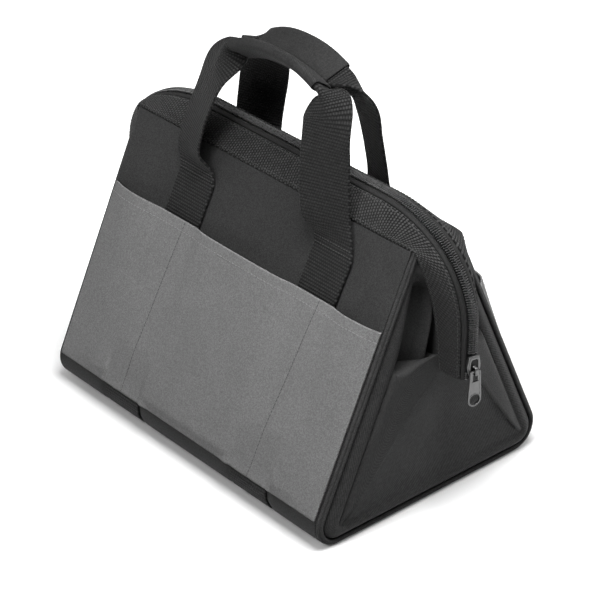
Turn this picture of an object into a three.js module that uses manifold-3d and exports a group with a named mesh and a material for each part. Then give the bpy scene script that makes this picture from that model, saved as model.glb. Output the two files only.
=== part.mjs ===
// A close-top tool bag of black cloth, shaped like a tent, with a grey pocket on each sloping wall.
// X runs along the bag, the front faces -Y and Z is up from the floor. All sizes are millimetres.
import * as THREE from 'three';
import { mergeVertices } from 'three/addons/utils/BufferGeometryUtils.js';
import Module from 'manifold-3d';

const wasm = await Module();
wasm.setup();
const { clamp, lerp, smoothstep, degToRad } = THREE.MathUtils;

// Driving dimensions of the bag
const LENGTH = 305;
const BASE_DEPTH = 235;
const WALL_HEIGHT = 208.5;
const TOP_GAP = 43;
const BASE_RADIUS = 19;
const RIDGE_HEIGHT = 228;

// Thicknesses and widths of the goods
const GAP = 0.3;
const CLOTH = 1.3;
const GUSSET_CLOTH = 1.2;
const WEBBING = 1.8;
const WEBBING_WIDTH = 38;
const PIPING = 4.6;
const PIPING_TOP = 5.5;
const BEND_STEPS = 6;

// Heights of the sewn lines, as a share of the wall's height
const TOP_SEAM_DROP = 1.5;
const STITCH_SHARE = 0.885;
const POCKET_TOP_SHARE = 0.735;
const POCKET_FOOT_SHARE = 0.12;

// Where the two straps cross the base and the tops of the walls
const STRAPS = [
  { name: 'left', foot: -72, front: -66, back: -63 },
  { name: 'right', foot: 75, front: 84, back: 67 },
];

// Upright lines of a pocket: how far the cloth stands off the wall, and swells at the mouth
const SEAM_X = LENGTH / 2 - PIPING - GAP - 0.6;
const OVER_STRAP = WEBBING + GAP;
const POCKET_LINES = [
  { from: 'leftSeam', dx: 0, stand: 0, mouth: 0 },
  { from: 'leftSeam', dx: 16, stand: 0.4, mouth: 5 },
  { from: 'leftSeam', dx: 33, stand: 1.0, mouth: 6.4 },
  { from: 'leftStrap', dx: -26, stand: 1.6, mouth: 3.2 },
  { from: 'leftStrap', dx: -20, stand: OVER_STRAP, mouth: 1.4 },
  { from: 'leftStrap', dx: 20, stand: OVER_STRAP, mouth: 1.4 },
  { from: 'leftStrap', dx: 34, stand: 1.9, mouth: 5.4 },
  { from: 'middle', dx: 0, stand: 1.9, mouth: 6.6 },
  { from: 'rightStrap', dx: -34, stand: 1.9, mouth: 5.4 },
  { from: 'rightStrap', dx: -20, stand: OVER_STRAP, mouth: 1.4 },
  { from: 'rightStrap', dx: 20, stand: OVER_STRAP, mouth: 1.4 },
  { from: 'rightStrap', dx: 26, stand: 1.6, mouth: 3.2 },
  { from: 'rightSeam', dx: -30, stand: 1.0, mouth: 6.4 },
  { from: 'rightSeam', dx: -14, stand: 0.4, mouth: 4.8 },
  { from: 'rightSeam', dx: 0, stand: 0, mouth: 0 },
];

// The zip's ridge: straight to the bend, a quarter ellipse, then a tail that hangs down
const TAIL_REACH = 188;
const TAIL_DROP = 72;
const TAIL_LENGTH = 39;
const RIDGE_SHOULDER = 10;
const RIDGE_ENDS = {
  left: { bend: 88, turn: 0 },
  right: { bend: 100, turn: degToRad(10) },
};

// Outer edge of a webbing band: q is 1 at the bend, 2 at the top of the tail and 3 at its foot
const BAND_EDGE = [
  { q: 0, x: 0, out: 21.5, z: 208.6 },
  { q: 0.5, x: 52, out: 21.5, z: 208.6 },
  { q: 1, x: 106, out: 21.5, z: 208.6 },
  { q: 1.5, x: 147, out: 21.5, z: 208.6 },
  { q: 1.62, x: 152, out: 20.6, z: 206 },
  { q: 1.8, x: 156.5, out: 17, z: 190 },
  { q: 2, x: 160, out: 13.5, z: 168 },
  { q: 3, x: 165, out: 11, z: RIDGE_HEIGHT - TAIL_DROP - TAIL_LENGTH },
];

// Shares of the strip that its pieces take, and their faces below and above it
const BAND = { from: 0.22, below: -0.9, above: 0.6 };
const TAPE = { from: 0.012, to: 0.36, below: -2.2, above: -1.2 };
const COIL = { half: 0.17, below: -0.9, above: 1.1 };

// How the end cloth folds in, from the top of a wall (0) to the middle of the base (1)
const GUSSET_FOLD = [
  { at: 0, inward: 6, rise: 0, middle: 0 },
  { at: 0.16, inward: 28, rise: 0, middle: 1 },
  { at: 0.4, inward: 36, rise: 2, middle: 2 },
  { at: 0.72, inward: 22, rise: 1, middle: 4 },
  { at: 0.88, inward: 25, rise: 20, middle: 12 },
  { at: 1, inward: 30, rise: 40, middle: 0 },
];
const GUSSET_PLACES = { wallEnd: 0.72, bendEnd: 0.88, tailTop: 1.68, tailFoot: 2.97 };
const GUSSET_TOP = 9;
const GUSSET_BORDER = 11;
const GUSSET_ROLL = 3;
const GUSSET_LIP = 0.2;
const GUSSET_TUCK = 0.93;
const GUSSET_APPROACH = 22;

// Centre line of a handle's leg, from the stitch on the wall to just past the middle of the hand grip.
// in: share of the way to the handle's middle, twist: degrees, fold: 0 flat, 1 folded in half,
// level: 1 where the webbing's width stays level although the leg slants, free: share of a handle's lean
const LEG = [
  { at: 0, z: 185.4, out: 33.6, in: 0, sway: 0, twist: 0, fold: 0, level: 1, free: 0 },
  { at: 1, z: 194, out: 31.4, in: 0, sway: 0.4, twist: -3, fold: 0, level: 1, free: 0 },
  { at: 2, z: 207, out: 33.2, in: 0, sway: 0.95, twist: -18, fold: 0, level: 0.9, free: 0.05 },
  { at: 3, z: 230, out: 31.8, in: 0.06, sway: 0.8, twist: -18, fold: 0, level: 0.6, free: 0.15 },
  { at: 4, z: 254, out: 29.5, in: 0.135, sway: 0.4, twist: -15, fold: 0, level: 0.3, free: 0.4 },
  { at: 5, z: 277, out: 27.2, in: 0.21, sway: 0, twist: -8, fold: 0.18, level: 0.1, free: 0.7 },
  { at: 6, z: 296.5, out: 25.2, in: 0.34, sway: 0, twist: 0, fold: 0.95, level: 0, free: 1 },
  { at: 7, z: 305.5, out: 24.2, in: 0.66, sway: 0, twist: 0, fold: 1, level: 0, free: 1 },
  { at: 8, z: 308, out: 24, in: 1, sway: 0, twist: 0, fold: 1, level: 0, free: 1 },
  { at: 9, z: 305.5, out: 24.2, in: 1.34, sway: 0, twist: 0, fold: 1, level: 0, free: 1 },
];
const HANDLE_MIDDLE = 8;
const HANDLES = [
  { name: 'front', side: -1, lean: degToRad(41), sway: -9, shift: 0, drop: 0 },
  { name: 'back', side: 1, lean: degToRad(30), sway: -11, shift: -11, drop: 10 },
];
const FOLD_RADIUS = 1.5;
const GRIP_CLOTH = 1.2;
const GRIP_HALF_WIDTH = 3;
const GRIP_HALF_DEPTH = 11;
const GRIP_SQUARENESS = 4;
const GRIP_REACH = 1.8;

// Stops along a leg, close together where the webbing folds
const LEG_STOPS = [
  0, 0.45, 0.9, 1.4, 1.9, 2.4, 2.9, 3.4, 3.9, 4.4, 4.75, 5.05, 5.3, 5.5, 5.68, 5.86, 6.04, 6.22, 6.6, 7.1, 7.55,
];

// Slider and pull of the zip
const SLIDER = { length: 16, width: 10.6, waist: 8.4, depth: 3.2, seat: -0.3, at: 2.7 };
const BAIL = { width: 2.4, length: 7, height: 4, wire: 1.3, top: 0.5 };
const PULL = { length: 28.5, width: 11, neck: 8.6, thickness: 1.6, bar: 1.8, hole: 4.2 };
const PULL_SLOT = { length: 6.6, width: 4 };
const PIVOT = { down: 3.6, out: 4.4 };

const MATERIALS = {
  cloth: { color: 0x2b2b2c, roughness: 0.85, metalness: 0 },
  pocket: { color: 0x77787a, roughness: 0.85, metalness: 0 },
  webbing: { color: 0x303031, roughness: 0.8, metalness: 0 },
  zip: { color: 0x1d1d1e, roughness: 0.5, metalness: 0 },
  metal: { color: 0x6f7072, roughness: 0.4, metalness: 0.9 },
};

const bag = new THREE.Group();

// Adds a named mesh with a material of its own to a group.
function addPiece(name, geometry, finish, group = bag) {
  const mesh = new THREE.Mesh(geometry, new THREE.MeshStandardMaterial(MATERIALS[finish]));
  mesh.name = name;
  group.add(mesh);
}

// Evenly spaced values from one number to another.
function steps(from, to, count) {
  return Array.from({ length: count + 1 }, (_, i) => lerp(from, to, i / count));
}

// Reads a column of a table smoothly between its rows.
function readTable(rows, key, at, column) {
  const last = rows.length - 1;
  const slope = (i) => {
    const [low, high] = [rows[Math.max(i - 1, 0)], rows[Math.min(i + 1, last)]];
    return (high[column] - low[column]) / (high[key] - low[key]);
  };
  const above = rows.findIndex((row) => row[key] > at);
  const i = clamp(above < 0 ? last - 1 : above - 1, 0, last - 1);
  const span = rows[i + 1][key] - rows[i][key];
  const t = clamp((at - rows[i][key]) / span, 0, 1);
  const rest = 1 - t;
  const start = rows[i][column] * (1 + 2 * t) * rest * rest + slope(i) * span * t * rest * rest;
  const end = rows[i + 1][column] * (3 - 2 * t) * t * t - slope(i + 1) * span * t * t * rest;
  return start + end;
}

// Reads a list of lines at an index that may lie between two of them.
function readBetween(lines, index, read) {
  const low = Math.floor(index);
  return lerp(read(lines[low]), read(lines[Math.ceil(index)]), index - low);
}

// Unit normal of a surface, with its differences kept inside the given ranges.
function surfaceNormal(surface, u, v, us, vs) {
  const [uStep, vStep] = [(us.at(-1) - us[0]) * 1e-4, (vs.at(-1) - vs[0]) * 1e-4];
  const alongU = surface(Math.min(u + uStep, us.at(-1)), v).sub(surface(Math.max(u - uStep, us[0]), v));
  const alongV = surface(u, Math.min(v + vStep, vs.at(-1))).sub(surface(u, Math.max(v - vStep, vs[0])));
  return alongU.cross(alongV).normalize();
}

// Closed sheet of goods between two offsets from a surface, with a vertex at every pair of stops.
function sheet(us, vs, surface, from, to) {
  const geometry = new THREE.BoxGeometry(1, 1, 1, us.length - 1, vs.length - 1, 1);
  const position = geometry.attributes.position;
  for (let k = 0; k < position.count; k++) {
    const u = us[Math.round((position.getX(k) + 0.5) * (us.length - 1))];
    const v = vs[Math.round((position.getY(k) + 0.5) * (vs.length - 1))];
    const offset = position.getZ(k) > 0 ? to : from;
    const at = surface(u, v).addScaledVector(surfaceNormal(surface, u, v, us, vs), offset);
    position.setXYZ(k, at.x, at.y, at.z);
  }
  return geometry;
}

// Cross-section of the bag, by the distance along the cloth from the front top edge to the back one.
const HALF_BASE = BASE_DEPTH / 2;
const HALF_TOP = TOP_GAP / 2;
const LEAN = Math.atan2(HALF_BASE - HALF_TOP, WALL_HEIGHT);
const TURN = Math.PI / 2 + LEAN;
const EDGE_CUT = BASE_RADIUS * Math.tan(TURN / 2);
const SLOPE = WALL_HEIGHT / Math.cos(LEAN) - EDGE_CUT;
const BEND = BASE_RADIUS * TURN;
const GIRTH = 2 * (SLOPE + BEND) + BASE_DEPTH - 2 * EDGE_CUT;

function section(distance) {
  const side = distance > GIRTH / 2 ? 1 : -1;
  const run = Math.min(distance, GIRTH - distance);
  const turned = clamp((run - SLOPE) / BASE_RADIUS, 0, TURN);
  const angle = LEAN - turned;
  const wall = Math.min(run, SLOPE) - SLOPE;
  const floor = Math.max(run - SLOPE - BEND, 0);
  const out = HALF_BASE - EDGE_CUT + BASE_RADIUS * Math.cos(angle) + wall * Math.sin(LEAN) - floor;
  const z = BASE_RADIUS * (1 + Math.sin(angle)) - wall * Math.cos(LEAN);
  return { y: side * out, z, ny: side * Math.cos(angle), nz: Math.sin(angle), run };
}

// Distance along the cloth of a height on the front wall.
const wallRun = (share) => ((1 - share) * WALL_HEIGHT) / Math.cos(LEAN);

// Stops along the cross-section, close together round the two base edges.
const PRESS_RUN = 40;
const POCKET_FOOT = wallRun(POCKET_FOOT_SHARE);
const POCKET_HEM = 8;
const PRESS_STOPS = [SLOPE - PRESS_RUN, SLOPE - PRESS_RUN / 2, POCKET_FOOT - POCKET_HEM, SLOPE];

function girthStops(from, to) {
  const stops = [from, to];
  for (const stop of [...PRESS_STOPS, ...steps(SLOPE, SLOPE + BEND, BEND_STEPS).slice(1)]) {
    stops.push(stop, GIRTH - stop);
  }
  return stops.filter((stop) => stop >= from && stop <= to).sort((a, b) => a - b);
}

// Where a strap's middle lies at a distance along the cross-section.
function strapX(strap, distance) {
  const top = distance > GIRTH / 2 ? strap.back : strap.front;
  return lerp(strap.foot, top, clamp(1 - section(distance).run / SLOPE, 0, 1));
}

// Outer face of the body cloth: the straps press it in by their thickness round the base.
function wallPoint(distance, x, stand = 0) {
  const { y, z, ny, nz, run } = section(distance);
  const away = Math.min(...STRAPS.map((strap) => Math.abs(x - strapX(strap, distance))));
  const beside = 1 - smoothstep(away, WEBBING_WIDTH / 2 + 1, WEBBING_WIDTH / 2 + 5);
  const out = stand - OVER_STRAP * beside * smoothstep(run, SLOPE - PRESS_RUN, SLOPE);
  return new THREE.Vector3(x, y + ny * out, z + nz * out);
}

function addBody() {
  const wrapEnd = LENGTH / 2 - PIPING - GAP;
  const columns = STRAPS.flatMap((strap) => [-24, -20, 20, 24].map((dx) => ({ strap, dx })));
  const lines = [-wrapEnd, ...columns, wrapEnd];
  const cloth = (run, index) => {
    const x = readBetween(lines, index, (line) => (line.strap ? strapX(line.strap, run) + line.dx : line));
    return wallPoint(run, x);
  };
  const runs = girthStops(TOP_SEAM_DROP, GIRTH - TOP_SEAM_DROP);
  addPiece('body_wrap', sheet(runs, lines.map((_, i) => i), cloth, -CLOTH, 0), 'cloth');

  for (const strap of STRAPS) {
    const stitch = wallRun(STITCH_SHARE) + GAP;
    const onWall = (run, across) => wallPoint(run, strapX(strap, run) + across);
    const half = WEBBING_WIDTH / 2;
    const webbing = sheet(girthStops(stitch, GIRTH - stitch), [-half, half], onWall, GAP, GAP + WEBBING);
    addPiece(`strap_${strap.name}`, webbing, 'webbing');
  }
}

// A pocket's cloth over one wall: flat at its sewn edges, over the straps, and open at its mouth.
function pocketLine(line, run) {
  const anchors = {
    leftSeam: -SEAM_X,
    leftStrap: strapX(STRAPS[0], run),
    middle: (strapX(STRAPS[0], run) + strapX(STRAPS[1], run)) / 2,
    rightStrap: strapX(STRAPS[1], run),
    rightSeam: SEAM_X,
  };
  return anchors[line.from] + line.dx;
}

function addPockets() {
  const [mouth, foot] = [wallRun(POCKET_TOP_SHARE), POCKET_FOOT];
  const lineStops = POCKET_LINES.map((_, i) => i);
  for (const handle of HANDLES) {
    const surface = (depth, index) => {
      const run = handle.side < 0 ? depth : GIRTH - depth;
      const mix = (read) => readBetween(POCKET_LINES, index, read);
      const open = ((foot - depth) / (foot - mouth)) ** 1.5;
      const loose = smoothstep(foot - depth, 0, POCKET_HEM);
      const stand = mix((line) => (line.stand === OVER_STRAP ? OVER_STRAP : line.stand * loose));
      const swell = open * mix((line) => line.mouth);
      return wallPoint(run, mix((line) => pocketLine(line, run)), GAP + stand + swell);
    };
    const depths = [...steps(mouth, PRESS_STOPS[0], 4).slice(0, -1), ...PRESS_STOPS, foot];
    const faces = handle.side < 0 ? [0, CLOTH] : [-CLOTH, 0];
    addPiece(`pocket_${handle.name}`, sheet(depths, lineStops, surface, ...faces), 'pocket');
  }
}

// Covered cord round the edge of each end.
function addPiping() {
  const radius = PIPING / 2;
  const runs = girthStops(PIPING_TOP, GIRTH - PIPING_TOP);
  for (const [name, end] of [['left', -1], ['right', 1]]) {
    const geometry = new THREE.CylinderGeometry(1, 1, 1, 8, runs.length - 1);
    const position = geometry.attributes.position;
    for (let k = 0; k < position.count; k++) {
      const { y, z, ny, nz } = section(runs[Math.round((position.getY(k) + 0.5) * (runs.length - 1))]);
      const inward = radius * (position.getX(k) - 1);
      const x = end * (LENGTH / 2 - radius + radius * position.getZ(k));
      position.setXYZ(k, x, y + ny * inward, z + nz * inward);
    }
    addPiece(`piping_${name}`, facedOut(geometry), 'cloth');
  }
}

// Solid of a closed geometry whose shared vertices are merged.
function solidOf(geometry) {
  const bare = geometry.clone();
  bare.deleteAttribute('normal');
  bare.deleteAttribute('uv');
  const merged = mergeVertices(bare, 1e-4);
  const vertProperties = Float32Array.from(merged.attributes.position.array);
  const triVerts = Uint32Array.from(merged.index.array);
  return new wasm.Manifold(new wasm.Mesh({ numProp: 3, vertProperties, triVerts }));
}

// Geometry of a solid that has been joined.
function geometryOf(solid) {
  const mesh = solid.getMesh();
  const geometry = new THREE.BufferGeometry();
  geometry.setAttribute('position', new THREE.BufferAttribute(mesh.vertProperties, 3));
  geometry.setIndex(new THREE.BufferAttribute(mesh.triVerts, 1));
  return geometry;
}

// Turns a closed geometry's faces outwards where its mapping mirrored them.
function facedOut(geometry) {
  const [position, index] = [geometry.attributes.position, geometry.index];
  const corner = (k) => new THREE.Vector3().fromBufferAttribute(position, index.getX(k));
  let volume = 0;
  for (let k = 0; k < index.count; k += 3) {
    volume += corner(k).dot(corner(k + 1).cross(corner(k + 2)));
  }
  for (let k = 0; volume < 0 && k < index.count; k += 3) {
    const swapped = index.getX(k);
    index.setX(k, index.getX(k + 1));
    index.setX(k + 1, swapped);
  }
  return geometry;
}

// Frame of the zip's ridge: its point, outward normal and side, turned a little on the right tail.
function ridgeFrame(q) {
  const [end, sign] = q < 0 ? [RIDGE_ENDS.left, -1] : [RIDGE_ENDS.right, 1];
  const far = Math.abs(q);
  const angle = (clamp(far - 1, 0, 1) * Math.PI) / 2;
  const reach = TAIL_REACH - end.bend;
  const x = sign * (Math.min(far, 1) * end.bend + reach * Math.sin(angle));
  const z = RIDGE_HEIGHT - TAIL_DROP * (1 - Math.cos(angle)) - TAIL_LENGTH * Math.max(far - 2, 0);
  const upright = new THREE.Vector3((sign * Math.sin(angle)) / reach, 0, Math.cos(angle) / TAIL_DROP);
  upright.normalize();
  const across = new THREE.Vector3(0, 1, 0);
  const turn = end.turn * smoothstep(far, 1, 2.6);
  return {
    at: new THREE.Vector3(x, 0, z),
    upright,
    along: across.clone().cross(upright),
    normal: upright.clone().multiplyScalar(Math.cos(turn)).addScaledVector(across, -Math.sin(turn)),
    side: across.clone().multiplyScalar(Math.cos(turn)).addScaledVector(upright, Math.sin(turn)),
  };
}

// Zip strip from the front band's edge (share -1) over the ridge (0) to the back band's edge (1).
function stripPoint(q, share) {
  const { at, upright, along, normal, side } = ridgeFrame(q);
  const sign = Math.sign(share);
  const s = Math.abs(share);
  const read = (column) => readTable(BAND_EDGE, 'q', Math.abs(q), column);
  const reach = new THREE.Vector3(Math.sign(q) * read('x'), 0, read('z')).sub(at);
  const edge = at.clone().addScaledVector(side, sign * read('out'));
  edge.addScaledVector(normal, reach.dot(upright)).addScaledVector(along, reach.dot(along));
  const shoulder = at.clone().addScaledVector(side, sign * RIDGE_SHOULDER);
  const rest = 1 - s;
  return at.multiplyScalar(rest * rest).addScaledVector(shoulder, 2 * s * rest).addScaledVector(edge, s * s);
}

// Stops along the strip, close together round the bends.
function stripStops(from, to) {
  const bends = [...steps(-2, -1, 10), ...steps(1, 2, 10)];
  const between = [-2.5, ...bends, -0.5, 0, 0.5, 2.25].filter((q) => q > from && q < to);
  return [from, ...between, to].sort((a, b) => a - b);
}

function addZip() {
  const whole = stripStops(-3, 3);
  for (const { name, side } of HANDLES) {
    const shares = (...list) => list.map((share) => side * share).sort((a, b) => a - b);
    const band = sheet(whole, shares(BAND.from, TAPE.to, 0.65, 1), stripPoint, BAND.below, BAND.above);
    addPiece(`band_${name}`, band, 'webbing');
    const tape = sheet(whole, shares(TAPE.from, BAND.from, TAPE.to), stripPoint, TAPE.below, TAPE.above);
    addPiece(`zip_tape_${name}`, tape, 'zip');
  }
  const coilEnd = SLIDER.at - SLIDER.length / 2 / TAIL_LENGTH - 0.02;
  const [teeth, across] = [stripStops(-2.98, coilEnd), [-COIL.half, 0, COIL.half]];
  addPiece('zip_coil', sheet(teeth, across, stripPoint, COIL.below, COIL.above), 'zip');
  addSlider();
}

// Plate of a given thickness with a flat outline.
function extrude(outline, depth, curveSegments) {
  return new THREE.ExtrudeGeometry(outline, { depth, curveSegments, bevelEnabled: false });
}

// Slider with its bail, and the pull that hangs on it, built in the frame of the tail's ridge.
function addSlider() {
  const { at, normal, side } = ridgeFrame(SLIDER.at);
  const up = new THREE.Vector3(0, 0, 1);
  const seat = new THREE.Group();
  seat.setRotationFromMatrix(new THREE.Matrix4().makeBasis(side, up, normal));
  seat.position.copy(at);
  bag.add(seat);

  const [half, waist, tip] = [SLIDER.width / 2, SLIDER.waist / 2, SLIDER.length / 2];
  const outline = new THREE.Shape();
  outline.moveTo(-waist, tip);
  outline.lineTo(waist, tip);
  outline.quadraticCurveTo(half, tip * 0.4, half, 0);
  outline.quadraticCurveTo(half, -tip * 0.6, waist * 0.8, -tip);
  outline.lineTo(-waist * 0.8, -tip);
  outline.quadraticCurveTo(-half, -tip * 0.6, -half, 0);
  outline.quadraticCurveTo(-half, tip * 0.4, -waist, tip);
  const body = extrude(outline, SLIDER.depth, 5);
  body.translate(0, 0, SLIDER.seat);

  const face = SLIDER.seat + SLIDER.depth;
  const sunk = 0.6;
  const arch = new THREE.Shape();
  arch.moveTo(BAIL.top, -sunk);
  arch.lineTo(BAIL.top, BAIL.height * 0.6);
  arch.quadraticCurveTo(BAIL.top, BAIL.height, BAIL.top - 1.6, BAIL.height);
  arch.lineTo(BAIL.top - BAIL.length + 1.6, BAIL.height);
  arch.quadraticCurveTo(BAIL.top - BAIL.length, BAIL.height, BAIL.top - BAIL.length, BAIL.height * 0.6);
  arch.lineTo(BAIL.top - BAIL.length, -sunk);
  arch.lineTo(BAIL.top - BAIL.length + BAIL.wire, -sunk);
  arch.lineTo(BAIL.top - BAIL.length + BAIL.wire, BAIL.height - BAIL.wire);
  arch.lineTo(BAIL.top - BAIL.wire, BAIL.height - BAIL.wire);
  arch.lineTo(BAIL.top - BAIL.wire, -sunk);
  const bail = extrude(arch, BAIL.width, 4);
  bail.translate(0, 0, -BAIL.width / 2);
  bail.applyMatrix4(new THREE.Matrix4().makeBasis(
    new THREE.Vector3(0, 1, 0),
    new THREE.Vector3(0, 0, 1),
    new THREE.Vector3(1, 0, 0),
  ));
  bail.translate(0, 0, face);
  addPiece('zip_slider', geometryOf(solidOf(body).add(solidOf(bail))), 'metal', seat);

  const [wide, neck] = [PULL.width / 2, PULL.neck / 2];
  const top = PULL.bar / 2;
  const round = PULL.length - top - wide;
  const tab = new THREE.Shape();
  tab.moveTo(-neck, top);
  tab.lineTo(neck, top);
  tab.lineTo(wide, -round);
  tab.absarc(0, -round, wide, 0, -Math.PI, true);
  const slot = new THREE.Path();
  const slotHalf = PULL_SLOT.width / 2;
  slot.moveTo(-slotHalf, -top);
  slot.lineTo(-slotHalf, -top - PULL_SLOT.length);
  slot.lineTo(slotHalf, -top - PULL_SLOT.length);
  slot.lineTo(slotHalf, -top);
  const hole = new THREE.Path();
  hole.absarc(0, -round, PULL.hole, 0, 2 * Math.PI, false);
  tab.holes.push(slot, hole);
  const pull = extrude(tab, PULL.thickness, 12);
  pull.translate(0, -PIVOT.down, PIVOT.out - PULL.thickness / 2);
  addPiece('zip_pull', geometryOf(solidOf(pull)), 'metal', seat);
}

// Folded-in cloth of an end: a border beside the piping, then a fold that runs in and back to the band.
function gussetPoint(end, around, across) {
  const side = around < 0.5 ? -1 : 1;
  const at = 1 - Math.abs(2 * around - 1);
  const { run, tailShare } = gussetPlace(at);
  const room = lerp(0.12, 1, smoothstep(at, 0, 0.3));
  const border = GUSSET_BORDER * room;
  const rolled = GUSSET_ROLL * room;
  const edgeStand = -(PIPING + 2 * GAP + GUSSET_CLOTH / 2);
  const outer = section(run);
  const onEdge = (stand, x) => {
    const out = Math.abs(outer.y) + Math.abs(outer.ny) * stand;
    return new THREE.Vector3(end * x, side * out, outer.z + outer.nz * stand);
  };
  const x = LENGTH / 2 - PIPING / 2;
  if (across < GUSSET_LIP) {
    const share = across / GUSSET_LIP;
    return onEdge(edgeStand - border * share, x + rolled * Math.sin(share * Math.PI * 0.75));
  }
  const t = (across - GUSSET_LIP) / (1 - GUSSET_LIP);
  const start = onEdge(edgeStand - border, x + rolled * Math.sin(Math.PI * 0.75));
  const finish = bandUnderside(end, side, tailShare, 0);
  const approach = bandUnderside(end, side, tailShare, GUSSET_APPROACH * room);
  const read = (column) => readTable(GUSSET_FOLD, 'at', at, column);
  const valley = start.clone().lerp(finish, 0.5);
  valley.add(new THREE.Vector3(-end * read('inward'), -side * read('middle'), read('rise')));
  const pulled = valley.multiplyScalar(8).sub(start).sub(finish).addScaledVector(approach, -3);
  pulled.divideScalar(3);
  return new THREE.CubicBezierCurve3(start, pulled, approach, finish).getPoint(t);
}

// Where a share of the gusset lies on the cross-section, and along the tail's edge and foot.
function gussetPlace(at) {
  const { wallEnd, bendEnd } = GUSSET_PLACES;
  if (at <= wallEnd) {
    return { run: lerp(GUSSET_TOP, SLOPE, at / wallEnd), tailShare: at / bendEnd };
  }
  if (at <= bendEnd) {
    return { run: SLOPE + (BEND * (at - wallEnd)) / (bendEnd - wallEnd), tailShare: at / bendEnd };
  }
  const floor = (at - bendEnd) / (1 - bendEnd);
  return { run: lerp(SLOPE + BEND, GIRTH / 2, floor), tailShare: 1 + floor };
}

// Point just under a band's edge: down the tail for a share up to 1, then across its foot to the middle.
function bandUnderside(end, side, share, inward) {
  const { tailTop, tailFoot } = GUSSET_PLACES;
  const depth = BAND.below - GAP - 2 * GUSSET_CLOTH;
  const q = end * lerp(tailTop, tailFoot, Math.min(share, 1));
  const near = (value) => [value - 0.01, value + 0.01];
  const under = (sign) => {
    const tuck = sign * GUSSET_TUCK;
    const normal = surfaceNormal(stripPoint, q, tuck, near(q), near(tuck));
    return stripPoint(q, tuck).addScaledVector(normal, depth);
  };
  const point = under(side).lerp(under(-side), Math.max(share - 1, 0) / 2);
  return point.addScaledVector(ridgeFrame(q).normal, -inward);
}

function addEnds() {
  const { wallEnd, bendEnd } = GUSSET_PLACES;
  const half = [...steps(0, wallEnd, 7).slice(0, -1), ...steps(wallEnd, bendEnd, BEND_STEPS), 0.94];
  const arounds = [...half.map((at) => at / 2), 0.5, ...half.map((at) => 1 - at / 2).reverse()];
  const acrosses = [0, GUSSET_LIP / 2, GUSSET_LIP, 0.34, 0.5, 0.66, 0.8, 0.9, 1];
  for (const [name, end] of [['left', -1], ['right', 1]]) {
    const surface = (around, across) => gussetPoint(end, around, across);
    const cloth = sheet(arounds, acrosses, surface, -GUSSET_CLOTH / 2, GUSSET_CLOTH / 2);
    addPiece(`end_panel_${name}`, cloth, 'cloth');
  }
}

// Frame of a handle at a place from its left foot (0) over the grip (8) to its right foot (16).
function handleFrame(handle, place) {
  const middle = HANDLE_MIDDLE;
  const read = (column, where = place) => readTable(LEG, 'at', middle - Math.abs(where - middle), column);
  const stitch = wallRun(STITCH_SHARE);
  const feet = STRAPS.map((strap) => strapX(strap, handle.side < 0 ? stitch : GIRTH - stitch));
  const centre = (where) => {
    const foot = where < middle ? feet[0] : feet[1];
    const free = read('free', where);
    const x = lerp(foot, (feet[0] + feet[1]) / 2, read('in', where)) + handle.sway * read('sway', where);
    const z = read('z', where) - handle.drop * free;
    return new THREE.Vector3(x + handle.shift * free, -read('out', where), z);
  };
  const [before, after] = [Math.max(place - 0.02, 0), Math.min(place + 0.02, 2 * middle)];
  const along = centre(after).sub(centre(before)).normalize();
  const facing = new THREE.Vector3(0, -Math.cos(handle.lean), Math.sin(handle.lean));
  const level = new THREE.Vector3(place < middle ? 1 : -1, 0, 0);
  const side = along.clone().cross(facing).normalize().lerp(level, read('level')).normalize();
  side.applyAxisAngle(along, degToRad(read('twist')));
  const fold = clamp(read('fold'), 1e-3, 1);
  return { at: centre(place), side, front: side.clone().cross(along).normalize(), fold };
}

// Webbing across a handle: its two halves fold backwards about the middle line.
function handlePoint(handle, place, across) {
  const { at, side, front, fold } = handleFrame(handle, place);
  const arc = (FOLD_RADIUS * Math.PI) / 2;
  const half = Math.abs(across);
  const angle = (fold * Math.PI * Math.min(half, arc)) / 2 / arc;
  const straight = Math.max(half - arc, 0);
  const radius = FOLD_RADIUS / fold;
  const aside = radius * Math.sin(angle) + straight * Math.cos(angle);
  const behind = radius * (1 - Math.cos(angle)) + straight * Math.sin(angle);
  at.addScaledVector(side, Math.sign(across) * aside).addScaledVector(front, -behind);
  return at.setY(-handle.side * at.y);
}

// Cloth sleeve round the folded webbing, sewn along the back.
function gripPoint(handle, place, turn) {
  const { at, side, front } = handleFrame(handle, place);
  const squared = (value) => Math.sign(value) * Math.abs(value) ** (2 / GRIP_SQUARENESS);
  const behind = GRIP_HALF_DEPTH - WEBBING / 2 - GAP - 0.1 + GRIP_HALF_DEPTH * squared(Math.sin(turn));
  at.addScaledVector(side, GRIP_HALF_WIDTH * squared(Math.cos(turn))).addScaledVector(front, -behind);
  return at.setY(-handle.side * at.y);
}

function addHandles() {
  const mirrored = LEG_STOPS.map((stop) => 2 * HANDLE_MIDDLE - stop).reverse();
  const places = [...LEG_STOPS, HANDLE_MIDDLE, ...mirrored];
  const arc = (FOLD_RADIUS * Math.PI) / 2;
  const half = WEBBING_WIDTH / 2;
  const between = (half + arc) / 2;
  const acrosses = [-half, -between, -arc, 0, arc, between, half];
  const seam = 0.06;
  const gripped = places.filter((place) => Math.abs(place - HANDLE_MIDDLE) < GRIP_REACH);
  for (const handle of HANDLES) {
    const webbing = (place, across) => handlePoint(handle, place, across);
    const strip = sheet(places, acrosses, webbing, -WEBBING / 2, WEBBING / 2);
    addPiece(`handle_${handle.name}`, strip, 'webbing');
    const sleeve = (place, turn) => gripPoint(handle, place, turn);
    const turns = steps(Math.PI / 2 + seam, 2.5 * Math.PI - seam, 20);
    const faces = handle.side < 0 ? [-GRIP_CLOTH, 0] : [0, GRIP_CLOTH];
    addPiece(`grip_${handle.name}`, sheet(gripped, turns, sleeve, ...faces), 'cloth');
  }
}

addBody();
addEnds();
addPiping();
addPockets();
addZip();
addHandles();

export default bag;
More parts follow.
